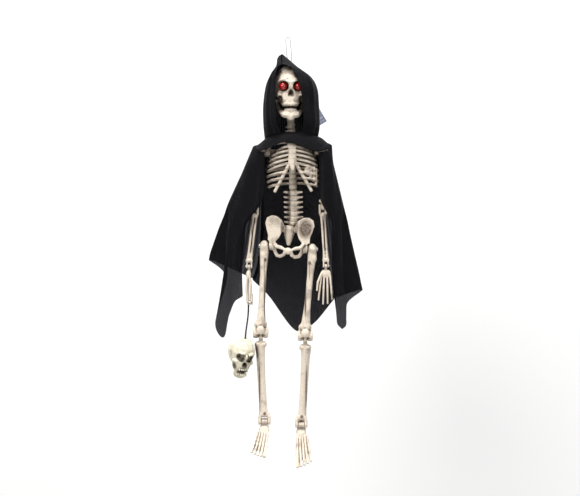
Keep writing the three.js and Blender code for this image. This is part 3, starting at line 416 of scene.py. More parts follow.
def moulded(node, name, extras=(), voxel=bone["voxel"], smoothing=bone["smoothing"], swell=0.0,
            slot="bone_plastic", carves=(), grime=(), head=None, grain=1.0):
    piece = bpy.data.objects.new(name, nodes[node].data.copy())
    bpy.context.scene.collection.objects.link(piece)
    alone(piece)
    bpy.ops.object.mode_set(mode="EDIT")
    bpy.ops.mesh.select_all(action="SELECT")
    bpy.ops.mesh.remove_doubles(threshold=0.00001)
    bpy.ops.object.mode_set(mode="OBJECT")
    if extras:
        joinInto(piece, extras)
    coarse = 1.0
    meltSkin(piece, voxel * coarse)
    if carves:
        applyAll(piece)
        tool = joinInto(carves[0], carves[1:])
        carve = piece.modifiers.new("carve", "BOOLEAN")
        carve.operation = "DIFFERENCE"
        carve.use_self = True
        carve.object = tool
        applyAll(piece)
        bpy.data.objects.remove(tool)
        meltSkin(piece, voxel * coarse)
    soften = piece.modifiers.new("soften", "SMOOTH")
    soften.factor = 0.5
    soften.iterations = max(1, int(smoothing / coarse))
    if swell:
        grow = piece.modifiers.new("grow", "DISPLACE")
        grow.strength = swell * mm
        grow.mid_level = 0.0
    cast = bpy.data.textures.new(name + "Grain", "CLOUDS")
    cast.noise_scale = bone["grainSize"] * (1.3 if grain > 1 else 1) * mm
    uneven = piece.modifiers.new("uneven", "DISPLACE")
    uneven.texture = cast
    uneven.texture_coords = "LOCAL"
    uneven.strength = bone["grain"] * grain * mm
    applyAll(piece)
    bpy.ops.object.shade_smooth()
    if head:
        roundHead(piece, np.array(head))
    # Paints the brown spots: partly antique wash, partly painted shade.
    if grime:
        paintWashAndShade(piece, grime)
    piece.data.materials.clear()
    piece.data.materials.append(finishes[slot])
    return mount(piece, bodyOf(node), slot, node)


def jointAt(name):
    return Vector(next(j["pos_m"] for j in frame["joints"] if j["name"] == name))


def middle(node):
    low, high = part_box(node)
    return (low + high) / 2


# The skull's own frame: origin at the crown, turned by its yaw.
skullDetail = dict(upperTeeth=10, lowerTeeth=10, yaw=3, crownHole=3.3)
skullTurn = Matrix.Rotation(math.radians(skullDetail["yaw"]), 4, "Z")
crown = Vector((1.8, 0, -29))


def onSkull(x, y, z):
    return (crown + skullTurn @ Vector((x, y, z))) * mm


def toothRow(count, halfWidth, back, front, z, size, reach=1.0):
    teeth = []
    for i in range(count):
        share = (i + 0.5) / count * 2 - 1
        turn = share * reach
        x = halfWidth * math.sin(turn)
        y = back - (back - front) * math.cos(turn)
        wide = size[0] * (1.0 if abs(share) > 0.25 else 1.15)
        teeth.append(ellipsoid(onSkull(x, y, z), inMm(wide, size[1], size[2]),
                               (0, 0, turn + math.radians(skullDetail["yaw"])), 10))
    return teeth


# Brown lines in the gaps between teeth: painted shade between parts, partly antique wash.
def toothGaps(count, halfWidth, back, front, z, tall):
    spots = []
    for i in range(count + 1):
        turn = i / count * 2 - 1
        at = onSkull(halfWidth * math.sin(turn), back - (back - front) * math.cos(turn), z)
        spots.append((at, inMm(0.26, 1.6, tall), 0.8))
    return spots


faceExtras = toothRow(skullDetail["upperTeeth"], 7.6, -12, -20.7, -40.3, (0.8, 0.75, 1.7))
faceCarves = [
    ellipsoid(onSkull(0, -21.5, -27.6), inMm(1.5, 3.2, 2.4)),
]
# Brown round the nose hole and eye sockets, in the cheek hollows, beside the cheekbones, at the temples and along
# the bottom of the upper teeth: painted shade in hollows, partly antique wash.
faceWashAndShade = [(onSkull(0, -20.5, -28.5), inMm(3, 4, 3.8), 1.0)]
for side in (-1, 1):
    faceExtras += [
        ellipsoid(onSkull(side * 7.5, -19.0, -15.6), inMm(5.2, 2.0, 1.6),
                  (0, side * 0.3, side * 0.3)),
        ellipsoid(onSkull(side * 1.2, -20.4, -23.6), inMm(1.1, 1.4, 2.6), (0.5, side * 0.15, 0)),
        ellipsoid(onSkull(side * 11.2, -15.0, -28.6), inMm(3.4, 2.2, 2.0),
                  (0, side * 0.55, side * 0.5)),
    ]
    faceCarves += [
        ellipsoid(onSkull(side * 1.7, -20.5, -30.2), inMm(1.5, 3.6, 2.5), (0, side * -0.25, 0)),
        ellipsoid(onSkull(side * 10.6, -16.4, -34.2), inMm(2.6, 4.2, 3.2), (0.2, side * 0.4, 0)),
    ]
    faceWashAndShade += [
        (onSkull(side * 7.5, -18, -22), inMm(6.3, 8, 5.9), 1.0),
        (onSkull(side * 10.6, -14, -34.8), inMm(3.6, 6, 4.6), 0.95),
        (onSkull(side * 9.6, -18, -28.4), inMm(2.6, 3, 1.0), 0.7),
        (onSkull(side * 15.5, -10, -21), inMm(2.6, 5, 5), 0.5),
        (onSkull(side * 4.2, -19.5, -41.0), inMm(4.6, 2.5, 0.8), 0.55),
    ]
faceWashAndShade += toothGaps(skullDetail["upperTeeth"], 7.6, -12, -20.9, -40.1, 1.7)
moulded("skull_face", "skullFace", faceExtras, voxel=0.3, carves=faceCarves, grime=faceWashAndShade)
crownHole = strut(onSkull(0, 0, -12), onSkull(0, 0, 6), skullDetail["crownHole"] * mm, sides=24)
moulded("skull_back", "skullBack", voxel=0.4, smoothing=6, carves=[crownHole])
jawExtras = toothRow(skullDetail["lowerTeeth"], 6.8, -11.5, -19.3, -45.4, (0.75, 0.7, 1.6))
# Brown behind the lower teeth, at the jaw's back corners and beside its front: painted shade in hollows, partly
# antique wash.
jawWashAndShade = [(onSkull(0, -10, -46), inMm(6, 6, 5), 0.9)]
for side in (-1, 1):
    jawWashAndShade += [(onSkull(side * 11.6, -3, -42), inMm(3, 5, 7), 0.75),
                 (onSkull(side * 7.5, -14, -46.6), inMm(2.4, 3, 1.6), 0.6)]
jawWashAndShade += toothGaps(skullDetail["lowerTeeth"], 6.8, -11.5, -19.4, -45.2, 1.5)
moulded("jaw", "jawBone", jawExtras, voxel=0.3, grime=jawWashAndShade)

trunk = dict(
    neckRings=7, ringPitch=4.1, frontRibs=8, backRibs=9, ribPitch=5.1, vertebrae=7,
    webBars=((19.5, -131, -141), (22.4, -130, -145), (24.6, -132, -149)),
)
neckAt = jointAt("neck_turn")
neckRings, neckWashAndShade = [], []
for i in range(trunk["neckRings"]):
    z = neckAt.z - (16 + trunk["ringPitch"] * i) * mm
    neckRings.append(ellipsoid((neckAt.x, neckAt.y, z), inMm(4.9, 4.9, 1.35)))
    # Brown band in the gap below each neck ring: painted shade between parts, partly antique wash.
    neckWashAndShade.append(((neckAt.x, neckAt.y, z - trunk["ringPitch"] / 2 * mm), inMm(6, 6, 1.1), 0.9))
moulded("neck", "neckColumn", neckRings, voxel=0.35, smoothing=3, grime=neckWashAndShade)


def onChest(x, z, out=0.0):  # a place on the front of the ribs, in the figure's own x and z
    return (Vector((x, -(15 + out) * math.sqrt(max(0.0, 1 - (x / 26.5) ** 2)), z)) + shift) * mm


webs = [strut(onChest(x, top), onChest(x, low), 1.5 * mm, sides=10) for x, top, low in trunk["webBars"]]
webs += [ellipsoid(onChest(16.6, -135), inMm(3.4, 1.3, 4.6), (0, -0.6, 0.5))]
# Brown bands across the front ribs, at their outer ends and beside the sternum: painted shade between the ribs,
# partly antique wash.
ribWashAndShade = []
for i in range(trunk["frontRibs"]):
    z = -112.5 - trunk["ribPitch"] * i
    for way in (-1, 1):
        ribWashAndShade.append((onChest(way * 12, z), inMm(11, 9, 1.1), 0.55))
        ribWashAndShade.append((onChest(way * 21.5, z - 1.5), inMm(4.5, 9, 1.3), 0.7))
ribWashAndShade.append((onChest(5, -128), inMm(2.2, 3, 10), 0.5))
# Brown bands halfway between the back ribs and stripes beside the spine: painted shade between parts, partly
# antique wash.
backWashAndShade = []
for way in (-1, 1):
    backWashAndShade.append((step(3 + way * 6, 2, -135), inMm(2.2, 6, 26), 0.7))
    for i in range(trunk["backRibs"]):
        rib = step(3 + way * 13, 4, -114 - trunk["ribPitch"] * i)
        backWashAndShade.append(((rib.x, rib.y, rib.z - 2.55 * mm), inMm(13, 12, 1.3), 0.75))
moulded("ribcage_front", "ribcageFront", webs, voxel=0.36, smoothing=3, swell=0.2, grime=ribWashAndShade)
moulded("ribcage_back", "ribcageBack", voxel=0.36, smoothing=3, swell=0.25, grime=backWashAndShade)
low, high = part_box("lumbar_spine")
across = (low.x + high.x) / 2
# Darker down the viewer's left side of the spine, with brown bands between and beside the vertebrae: painted shade
# between parts, partly antique wash.
lumbarWashAndShade = [(Vector((across - 4.6 * mm, low.y, (low.z + high.z) / 2)), inMm(2.0, 12, 22), 0.85)]
vertebrae = []
for i in range(trunk["vertebrae"]):
    z = high.z - (3 + trunk["ribPitch"] * i) * mm
    vertebrae.append(ellipsoid((across, (low.y + high.y) / 2, z), inMm(5.7, 5.4, 2.1)))
    lumbarWashAndShade.append((Vector((across, low.y, z - 2.5 * mm)), inMm(6.5, 6, 0.75), 0.6))
    for way in (-1, 1):
        beside = Vector((across + way * 6.4 * mm, low.y + 3 * mm, z - 2.4 * mm))
        lumbarWashAndShade.append((beside, inMm(2.6, 6, 1.2), 0.7))
moulded("lumbar_spine", "lumbarSpine", vertebrae, voxel=0.36, smoothing=3, swell=0.1, grime=lumbarWashAndShade)
# The big first spot darkens the inner face of the hip bone on the viewer's right: painted shade, as that face is
# turned from the light. The others darken the hollows: painted shade, partly antique wash.
pelvisWashAndShade = [
    (step(17.5, -8, -192), inMm(7.5, 10, 10), 0.9),
    (step(7.5, -6, -190), inMm(3, 7, 12), 0.7),
    (step(-5, -6, -190), inMm(2.6, 7, 9), 0.85),
    (step(-14, -8, -204), inMm(4, 6, 3), 0.45),
    (step(2, -6, -206), inMm(4, 6, 6), 0.75),
    (step(-8, -6, -214), inMm(3.4, 6, 2.6), 0.7),
    (step(4, -6, -215), inMm(3.4, 6, 2.6), 0.7),
]
moulded("pelvis", "hipBones", voxel=0.4, smoothing=4, grime=pelvisWashAndShade)

# The knuckles of a foot, laid out from the ankle along its own slope.
feet = dict(right=(-1, 31, -8), left=(1, 49, 4))  # side, slope and splay in degrees
toes = dict(
    across=(-5.6, -2.7, 0.1, 2.9, 5.8), reach=(1, 0.98, 0.945, 0.9, 0.84), length=44, bigToe=1.25,
    knuckles=((0.3, 0.8, 1.9), (0.66, 1.05, 2.1), (0.83, 1.12, 1.75), (0.99, 1.2, 1.6)),  # along, spread, size
)
for side, (way, drop, splay) in feet.items():
    ankle = jointAt("ankle_" + side)
    slope = Matrix.Rotation(math.radians(drop), 3, "X")
    lean = math.tan(math.radians(splay))

    def onFoot(x, y, z):
        return ankle + slope @ Vector((way * x - lean * y, y, z)) * mm

    # Brown lines in the gaps between toes and a patch below the ankle: painted shade between parts, partly antique
    # wash.
    knuckles, footWashAndShade = [], []
    for i, (x, reach) in enumerate(zip(toes["across"], toes["reach"])):
        big = toes["bigToe"] if i == 0 else 1
        for share, spread, size in toes["knuckles"]:
            knuckles.append(ellipsoid(onFoot(x * spread, -toes["length"] * reach * share, -7.4 - 2.4 * share),
                                      inMm(size * big * 0.86, size * big, size * big * 0.8), segments=12))
        if i < len(toes["across"]) - 1:
            gapX = (x + toes["across"][i + 1]) / 2
            for share in (0.35, 0.5, 0.65, 0.8):
                gap = onFoot(gapX * (0.8 + 0.4 * share), -toes["length"] * reach * share, -7)
                footWashAndShade.append((gap, inMm(0.6, 5, 4), 0.8))
    footWashAndShade.append((onFoot(0, 0, -2), inMm(5, 4, 3), 0.5))
    moulded("foot_" + side, "foot" + side.title(), knuckles, voxel=0.32, smoothing=3, grime=footWashAndShade)

bothSides = (("right", -1), ("left", 1))
for side, way in bothSides:
    hip, knee, ankle = (jointAt(name + side) for name in ("hip_", "knee_", "ankle_"))
    shoulder, elbow = jointAt("shoulder_" + side), jointAt("elbow_" + side)
    along = (knee - hip).normalized()
    thighExtras = [
        ellipsoid(hip + step(way * 0.3, 0.4, -1.5), inMm(4.05, 5.6, 5.8)),
        ellipsoid(hip + step(way * 1.0, -1.2, -9), inMm(3.4, 3.6, 5)),
        ellipsoid(knee + step(0, -5.2, 2.4), inMm(4.2, 2.6, 4.4)),
    ]
    thighExtras += [ellipsoid(knee + step(s * 4.9, 0.2, -0.2), inMm(2.5, 5.5, 5.4))
                    for s in (-1, 1)]
    # A dark dot where a screw hole is, with no hole modelled, a patch under the kneecap, hollows beside it, and
    # dark lines below the hip and down the inner side of the shaft: painted shade, partly antique wash.
    thighWashAndShade = [
        (hip + along * 14 * mm + step(way * -1.5, -3, 0), inMm(1.5, 2.5, 2.2), 0.95),
        (knee + step(0, -3, -2.6), inMm(5.5, 4, 1.6), 0.85),
        (hip + along * 22 * mm + step(way * -1.0, -3, 0), inMm(0.8, 3, 9), 0.6),
        (hip + along * 52 * mm + step(way * -2.6, -1.5, 0), inMm(1.0, 4, 26), 0.9),
    ]
    thighWashAndShade += [(knee + step(s * 4.6, -4, 4.5), inMm(1.1, 2.5, 3.5), 0.7) for s in (-1, 1)]
    moulded("femur_" + side, "thighBone" + side.title(), thighExtras, smoothing=18, swell=0.2, grime=thighWashAndShade,
            head=hip)
    shinLine = (ankle - knee).normalized()
    shinExtras = [ellipsoid(knee + step(s * 2.8, -0.4, -11.6), inMm(3.2, 4.6, 2.6))
                  for s in (-1, 1)]
    shinExtras += [ellipsoid(ankle + step(s * 4.6, 0.2, 1.2), inMm(1.7, 3.4, 4.4))
                   for s in (-1, 1)]
    # A dark line in the gap between the two shin bones, a spot above the ankle and a band below the knee: painted
    # shade between parts, partly antique wash.
    shinWashAndShade = [(knee + shinLine * 50 * mm + step(way * 3.2, 0, 0), inMm(0.9, 4, 34), 0.85),
                 (ankle + step(0.5, -3.4, 8), inMm(1.6, 2.2, 1.8), 0.85),
                 (knee + step(0, 0, -7.5), inMm(3, 4, 2.5), 0.6)]
    moulded("shin_" + side, "shinBones" + side.title(), shinExtras, smoothing=20, swell=0.2, grime=shinWashAndShade)
    moulded("shoulder_" + side, "shoulderBlade" + side.title(), voxel=0.4)
    armExtras = [ellipsoid(shoulder + step(0, 0, 0.6), inMm(3.7, 4.7, 4.6))]
    moulded("humerus_" + side, "upperArm" + side.title(), armExtras)
    wrist = jointAt("wrist_" + side)
    # A dark line in the gap between the two forearm bones and a patch just below the wrist: painted shade between
    # parts, partly antique wash.
    foreWashAndShade = [((elbow + wrist) / 2, inMm(0.7, 3, 24), 0.8)]
    moulded("forearm_" + side, "foreArm" + side.title(), voxel=0.34, smoothing=3, grime=foreWashAndShade)
    handWashAndShade = [(wrist + step(0, 0, -3), inMm(4, 3, 2), 0.6)]
    moulded("hand_" + side, "hand" + side.title(), voxel=0.28, smoothing=3, swell=0.12, grime=handWashAndShade)

# The small skull's own frame: origin at its crown.
small = dict(facing=0.42, teeth=5, toothPitch=2.0)  # facing is the face's own turn, in radians
smallAt = jointAt("small_skull_turn")
smallTurn = Euler((math.radians(14), math.radians(9), math.radians(24)), "XYZ").to_matrix()


def onSmall(x, y, z):
    return smallAt + smallTurn @ Vector((x, y, z)) * mm


smallExtras = [ellipsoid(onSmall(0, -14.6, -16.4), inMm(1.5, 1.8, 3.4), (0.4, 0, small["facing"]))]
smallCarves = [
    ellipsoid(onSmall(0, -16.2, -24.6), inMm(1.7, 3.8, 2.6), (0, 0.1, small["facing"])),
    ellipsoid(onSmall(0, -15.0, -31.6), inMm(5.2, 3.4, 1.5), (0, 0.16, small["facing"])),
]
# Brown round the nose hole, mouth, eye sockets, cheek hollows, under the teeth and at the temples: painted shade
# in hollows, partly antique wash.
smallWashAndShade = [
    (onSmall(0, -15, -24.4), inMm(2.8, 5, 3.6), 1.0),
    (onSmall(0, -13, -31.6), inMm(6.4, 5, 2.3), 1.0),
    (onSmall(0, -13.5, -27.6), inMm(5, 3, 0.6), 0.5),
]
for side in (-1, 1):
    smallExtras += [
        ellipsoid(onSmall(side * 4.6, -12.9, -13.0), inMm(3.7, 1.9, 1.5),
                  (0.2, side * -0.35, small["facing"] + side * 0.45)),
        ellipsoid(onSmall(side * 7.8, -9.4, -22.8), inMm(2.8, 2.1, 1.6),
                  (0, side * 0.2, small["facing"] + side * 0.8)),
    ]
    smallCarves += [
        ellipsoid(onSmall(side * 5.5, -15.0, -17.6), inMm(4.3, 4.4, 3.6), (0.1, side * 0.35, small["facing"])),
        ellipsoid(onSmall(side * 9.4, -9.4, -28.2), inMm(2.4, 4.4, 4.0), (0.1, side * 0.2, small["facing"])),
    ]
    smallWashAndShade += [
        (onSmall(side * 4.1, -13, -18.9), inMm(3.3, 7, 2.9), 1.0),
        (onSmall(side * 7.0, -12, -17.0), inMm(3.3, 7, 3.1), 1.0),
        (onSmall(side * 9.2, -9.4, -28.0), inMm(2.8, 4.6, 4.6), 0.95),
        (onSmall(side * 3.2, -14, -36.6), inMm(1.4, 3, 1.2), 0.6),
        (onSmall(side * 12.2, -2, -16), inMm(1.6, 4, 4), 0.35),
    ]
for drop in (-29.4, -34.0):  # the upper and the lower teeth
    for i in range(small["teeth"]):
        x = (i - (small["teeth"] - 1) / 2) * small["toothPitch"]
        smallExtras.append(ellipsoid(onSmall(x, -15.6 + 0.09 * x * x, drop), inMm(0.95, 0.8, 1.7),
                                     (0, 0, small["facing"]), 10))
moulded("small_skull", "smallSkull", smallExtras, voxel=0.36, smoothing=3, slot="skull_cream",
         carves=smallCarves, grime=smallWashAndShade, grain=3.2)
print("bones moulded")

# ---- eyes ----
for side in ("right", "left"):
    at = middle("eye_" + side)
    eye = ellipsoid(at + step(0, 1.3, 0), inMm(3.95, 3.95, 3.95), segments=32)
    eye.name = "eyeBead" + side.title()
    alone(eye)
    bpy.ops.object.shade_smooth()
    mount(eye, "skull", "red_acrylic", "eye_" + side)
print("eyes set")


# ---- pins and screws ----
screws = dict(headHeight=1.3, recess=0.9, edge=0.08)


def screw(node, name, outward, headRadius):
    low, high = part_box(node)
    at = (low + high) / 2
    shank = (min(high.y - low.y, high.z - low.z) / 2) * 1.02
    inner, outer = (low.x, high.x) if outward > 0 else (high.x, low.x)
    headHeight = screws["headHeight"] * mm * outward if headRadius else 0
    pieces = [strut((inner, at.y, at.z), (outer - headHeight, at.y, at.z),
                    shank * (0.5 if headRadius else 0.96), sides=24)]
    if headRadius:
        head = strut((outer - headHeight * 1.02, at.y, at.z), (outer, at.y, at.z),
                     headRadius * mm, headRadius * 0.8 * mm, 28)
        for long, narrow in ((1, 0.2), (0.2, 1)):  # the cross recess
            bpy.ops.mesh.primitive_cube_add(size=1)
            slotBlock = bpy.context.active_object
            slotBlock.scale = inMm(screws["recess"], long * headRadius * 1.1, narrow * headRadius * 1.1)
            slotBlock.location = (outer, at.y, at.z)
            settle(slotBlock)
            carve = head.modifiers.new("recess", "BOOLEAN")
            carve.operation = "DIFFERENCE"
            carve.object = slotBlock
            applyAll(head)
            bpy.data.objects.remove(slotBlock)
        pieces.append(head)
    piece = joinInto(pieces[0], pieces[1:])
    piece.name = name
    edge = piece.modifiers.new("edge", "BEVEL")
    edge.width = screws["edge"] * mm
    edge.segments = 2
    edge.limit_method = "ANGLE"
    applyAll(piece)
    bpy.ops.object.shade_smooth_by_angle(angle=math.radians(35))
    return mount(piece, bodyOf(node), "pin_steel", node)


headRadii = dict(shoulder_screw_=2.4, hip_screw_=2.4, elbow_pin_=1.7, wrist_pin_=1.2, jaw_pin_=1.5,
                 knee_pin_=0, ankle_pin_=0)
for side, way in bothSides:
    for node, head in headRadii.items():
        name = node.replace("_", " ").title().replace(" ", "")
        screw(node + side, name[0].lower() + name[1:] + side.title(), way, head)
print("pins set")

# ---- hanging loop ----
loop = dict(thickness=0.9, width=4.6, top=-0.45, drop=-32)


def strand(side):
    half = side * loop["width"] / 2
    return [(1.8 + side * 0.7, 0, loop["drop"]), (1.8 + half * 0.55, 0, -28), (1.1 + half, 0, -17.4),
            (half * 0.95, 0, -3.5), (half * 0.55, 0, -0.72)]


route = [Vector(p) * mm for p in [*strand(-1), (0, 0, loop["top"]), *reversed(strand(1))]]
loopCurve = curveAlong(route, loop["thickness"] / 2 * mm, "hangingLoop", 5)
mount(loopCurve, "hanger", "clear_nylon", "hanging_loop")
knotAt = middle("loop_knot")


def knotTurns(start):
    turns = [Vector((math.cos(a * 0.9 + start) * 1.6, math.sin(a * 0.9 + start) * 1.5,
                     (a * 0.22 - 1.4) * (1 - start * 0.3))) for a in range(13)]
    return [knotAt + turn * mm for turn in turns]


wraps = [tubeAlong(knotTurns(start), 0.45 * mm) for start in (0, 1.6)]
knot = joinInto(ellipsoid(knotAt, inMm(1.6, 1.5, 1.7)), wraps)
knot.name = "loopKnot"
alone(knot)
bpy.ops.object.shade_smooth()
mount(knot, "knot", "clear_nylon", "loop_knot")

# ---- the small skull's cord ----
cord = dict(thickness=1.6, intoFist=6.0, intoSkull=4.2)
cordTop = jointAt("skull_cord_swing")
cordFoot = jointAt("small_skull_turn")
cordLine = [cordTop + step(0, 0, cord["intoFist"]), cordTop + step(-0.6, -0.6, -7),
            cordFoot + step(0.6, 0.6, 7), cordFoot, cordFoot + step(-0.2, 0, -cord["intoSkull"])]
skullCord = curveAlong(cordLine, cord["thickness"] / 2 * mm, "skullCord", 5)
mount(skullCord, "skull_cord", "black_cord", "skull_cord")
print("skull cord", round(lineLength(smoothLine(cordLine, 6)), 4))
print("cords laid")

# ---- cape ----
cape = dict(thickness=0.22)


def clothSheet(name, rows, across, down, flat, fold, density):
    bpy.ops.mesh.primitive_grid_add(x_subdivisions=across, y_subdivisions=down, size=2)
    piece = bpy.context.active_object
    piece.name = name
    mesh = piece.data
    lines = {}
    places = []
    for vertex in mesh.vertices:
        u, v = (vertex.co.x + 1) / 2, (1 - vertex.co.y) / 2
        places.append((round(u, 6), round(v, 6)))
    for u in sorted({u for u, v in places}):
        column = [throughPoints(row, u) for row in rows]
        for v in sorted({v for u2, v in places if u2 == u}):
            lines[(u, v)] = throughPoints(column, v)
    for vertex, key in zip(mesh.vertices, places):
        vertex.co = (lines[key] + shift) * mm
    mesh.update()
    normals = [v.normal.copy() for v in mesh.vertices]
    for vertex, (u, v), normal in zip(mesh.vertices, places, normals):
        vertex.co += normal * fold(u, v) * mm
    mesh.update()
    layer = mesh.uv_layers[0]
    layer.name = "flat"
    for corner in mesh.loops:
        u, v = places[corner.vertex_index]
        layer.data[corner.index].uv = (u * flat[0], v * flat[1])
    hiding = mesh.attributes.new("hiding", "FLOAT", "POINT")
    for i, (u, v) in enumerate(places):
        hiding.data[i].value = density(u, v)
    thicken = piece.modifiers.new("thicken", "SOLIDIFY")
    thicken.thickness = cape["thickness"] * mm
    thicken.offset = 0
    applyAll(piece)
    bpy.ops.object.shade_smooth()
    piece.data.materials.append(finishes["black_voile"])
    area = sum(p.area for p in piece.data.polygons) / 2
    print(name, "area", round(area, 5), "of", round(flat[0] * flat[1], 5))
    return piece


def waves(count, height, phase):  # folds that open out towards the hem
    def fold(u, v):
        grow = v ** 1.2
        wander = 0.35 * math.sin(5.1 * v + phase * 2)
        return height * grow * (math.cos(2 * math.pi * (count * u + wander) + phase)
                                + 0.35 * math.cos(2 * math.pi * (count * 2.3 * u - wander) + phase * 1.7))
    return fold


hoodRows = [
    [(-9.4, -17, -29.5), (-9.8, -8, -22.5), (-9.2, 1, -17.4), (-6, 10, -20.5), (-1.5, 18.2, -27.3),
     (-5.6, 10, -20.7), (-8.4, 1, -17.5), (-8.8, -8, -22.6), (-9.0, -17, -29.6)],
    [(-12.6, -17.5, -31), (-13.4, -9, -25.5), (-12.9, 0, -20.6), (-8.5, 11, -23.5), (-2, 19, -28.5),
     (-1.5, 12, -25.5), (-3.6, 2, -21.6), (-3.8, -8, -25.5), (-4.5, -17, -30.6)],
    [(-13.6, -18, -34), (-14.4, -12, -31), (-14.6, 0, -29.5), (-12, 13, -30), (-1, 21.5, -32),
     (5, 14, -31), (6, 1, -30), (4.5, -12, -31.5), (0.5, -18, -33.4)],
    [(-15, -18.8, -40), (-19.5, -12.5, -39.5), (-20.8, 0, -39), (-16, 15, -38.5), (0.5, 24.5, -40),
     (16.5, 16, -40), (19.5, 1, -40), (15.5, -14, -41), (5, -20, -42)],
    [(-15.2, -19.5, -50), (-21.5, -12.5, -49), (-25, 0, -50), (-19.5, 17, -49), (1, 27, -49),
     (20.5, 18, -50), (26, 1, -52), (19.5, -14.5, -52), (8.8, -22.5, -52)],
    [(-15.5, -20, -68), (-23, -13, -68), (-27.5, 0, -68), (-21, 18, -66), (1, 28, -66),
     (22, 18, -67), (27.6, 1, -69), (21, -12, -69), (11.4, -20.5, -68)],
    [(-14.5, -19.5, -86), (-22, -12.5, -86), (-27.5, 1, -86), (-21, 17, -86), (1, 25, -86),
     (22, 17, -86), (28.4, 1, -88), (22.5, -11, -87), (12.2, -18.5, -86)],
    [(-10, -15, -97), (-18, -10, -99), (-26, 3, -102), (-20, 16.5, -103), (1, 22, -101),
     (21, 16.5, -100), (27, 3, -99.5), (20, -9, -98), (10.5, -14.5, -97)],
]
yokeRows = [
    [(1, 15, -97), (-14, 13, -97.5), (-21, 7, -98), (-17, -1, -97.2), (-9, -7, -96.4), (1, -9.5, -96),
     (10, -7, -96.2), (18, -1, -97), (22, 7, -97.4), (15, 13, -97), (1, 15, -97)],
    [(1, 20.5, -99.5), (-17, 17.5, -101.2), (-29, 8, -104), (-25, -8, -104.2),
     (-11, -15, -101.4), (0, -17.5, -100.6),
     (13, -15, -101.8), (26, -7, -102.2), (31, 8, -101), (18, 16.5, -99.8), (1, 20.5, -99.5)],
    [(1, 21.8, -104), (-20, 19.5, -105.4), (-36.5, 8, -109.4), (-29, -12.5, -114.5),
     (-12, -19, -108), (-1, -20.5, -107),
     (13, -19.5, -112.4), (29, -11.5, -115.5), (38.5, 8, -107), (22, 18.2, -103.5), (1, 21.8, -104)],
]
rightWingRows = [
    [(-26, -9.5, -115.6), (-32, -7.5, -114.6), (-36.2, -2.5, -112.4), (-38, 3.5, -109.8),
     (-36.5, 8, -108.4), (-33, 12, -107.2), (-25, 17, -105)],
    [(-26, -8.5, -131), (-34, -8, -131), (-42, -4, -131), (-46, 1, -131),
     (-46.5, 5, -130.5), (-44, 10, -130), (-26, 19, -129)],
    [(-28, -8.6, -163), (-38, -8, -168), (-50, -4, -169), (-56.5, 1, -168),
     (-61, 6, -166), (-59, 12, -165), (-27, 20.4, -166)],
    [(-43.5, -6, -186), (-47.5, -5.5, -189), (-54, -3, -192), (-59.5, 1.5, -187),
     (-63.5, 7, -184), (-65.5, 12.5, -180), (-27.5, 20.8, -183)],
    [(-46, -3.5, -205), (-51, -4, -212), (-58, -2, -220), (-62, 2, -208),
     (-66, 8, -202), (-71.5, 13, -194), (-28, 21, -200)],
    [(-48.5, 0, -232), (-55, -1, -245), (-62, 0, -265), (-68, 2, -250),
     (-65, 9, -224), (-77.5, 14, -211), (-31, 21, -226)],
    [(-48, 3, -259), (-58.5, 1, -268), (-67, 1, -300), (-75.5, 4, -284),
     (-65.5, 10, -240), (-82, 15, -223), (-36, 21, -243)],
]
leftWingRows = [
    [(27, -9.5, -116), (33, -7.5, -115), (38.3, -2.5, -112.4), (41, 3.5, -108.8),
     (39, 8, -106.6), (35, 12, -104.8), (26, 16, -102.6)],
    [(28, -8.5, -131), (34, -8, -131), (40.5, -4, -130.5), (42.5, 1, -130),
     (43, 5, -130), (42, 10, -129), (27, 19, -128)],
    [(28.5, -8.5, -161), (36.5, -8, -166), (43.5, -4.5, -168), (48, 1, -166),
     (51, 6, -165), (50, 12, -164), (29, 20.4, -165)],
    [(39.5, -6, -184), (42, -5.5, -187), (45, -3, -189), (49, 1.5, -185),
     (52.5, 7, -184), (54, 12.5, -180), (30.5, 21, -184)],
    [(40, -3.2, -201), (42.5, -4, -205), (46, -2, -208), (50, 2, -205),
     (54, 8, -203), (58, 13, -196), (32, 21.4, -202)],
    [(41, 5, -232), (44, 3, -250), (48, 0, -256), (52, 3, -252),
     (56, 9, -240), (66, 14, -228), (36, 21.4, -234)],
    [(43.5, 6, -259), (46.5, 4, -284), (51, 2, -292), (54.5, 5, -287),
     (57.5, 10, -266), (71, 14, -253), (40.5, 21.4, -263)],
]
backRows = [
    [(-27, 15.5, -106), (-14, 18.5, -101), (0, 22, -99), (14, 18.5, -99.5), (28, 15, -103)],
    [(-29, 18.2, -129), (-14, 20, -130), (0, 20.6, -130), (14, 20, -130), (30, 18.2, -128)],
    [(-30, 19.6, -166), (-14, 20.8, -168), (0, 21, -170), (14, 20.8, -168), (32, 19.6, -165)],
    [(-31, 20.6, -200), (-16, 20.5, -208), (0, 21.4, -214), (16, 20.5, -212), (35, 20.6, -202)],
    [(-34, 20.8, -226), (-18, 20, -240), (2, 21.6, -256), (20, 20, -250), (39, 20.8, -234)],
    [(-39, 21, -243), (-22, 20, -260), (4, 21, -294), (22, 20, -288), (43.5, 21, -263)],
]


def hoodFold(u, v):  # long soft folds falling from the ridge
    fall = min(1.0, v * 1.6) * (1 - 0.5 * v)
    return 0.75 * fall * (math.cos(2 * math.pi * 8.5 * u + 1.8 * math.sin(3 * v))
                          + 0.5 * math.sin(2 * math.pi * 14 * u - 2.2 * v))


def yokeFold(u, v):
    return 0.5 * v * math.cos(2 * math.pi * 7 * u) + 0.3 * math.cos(41 * u) * v


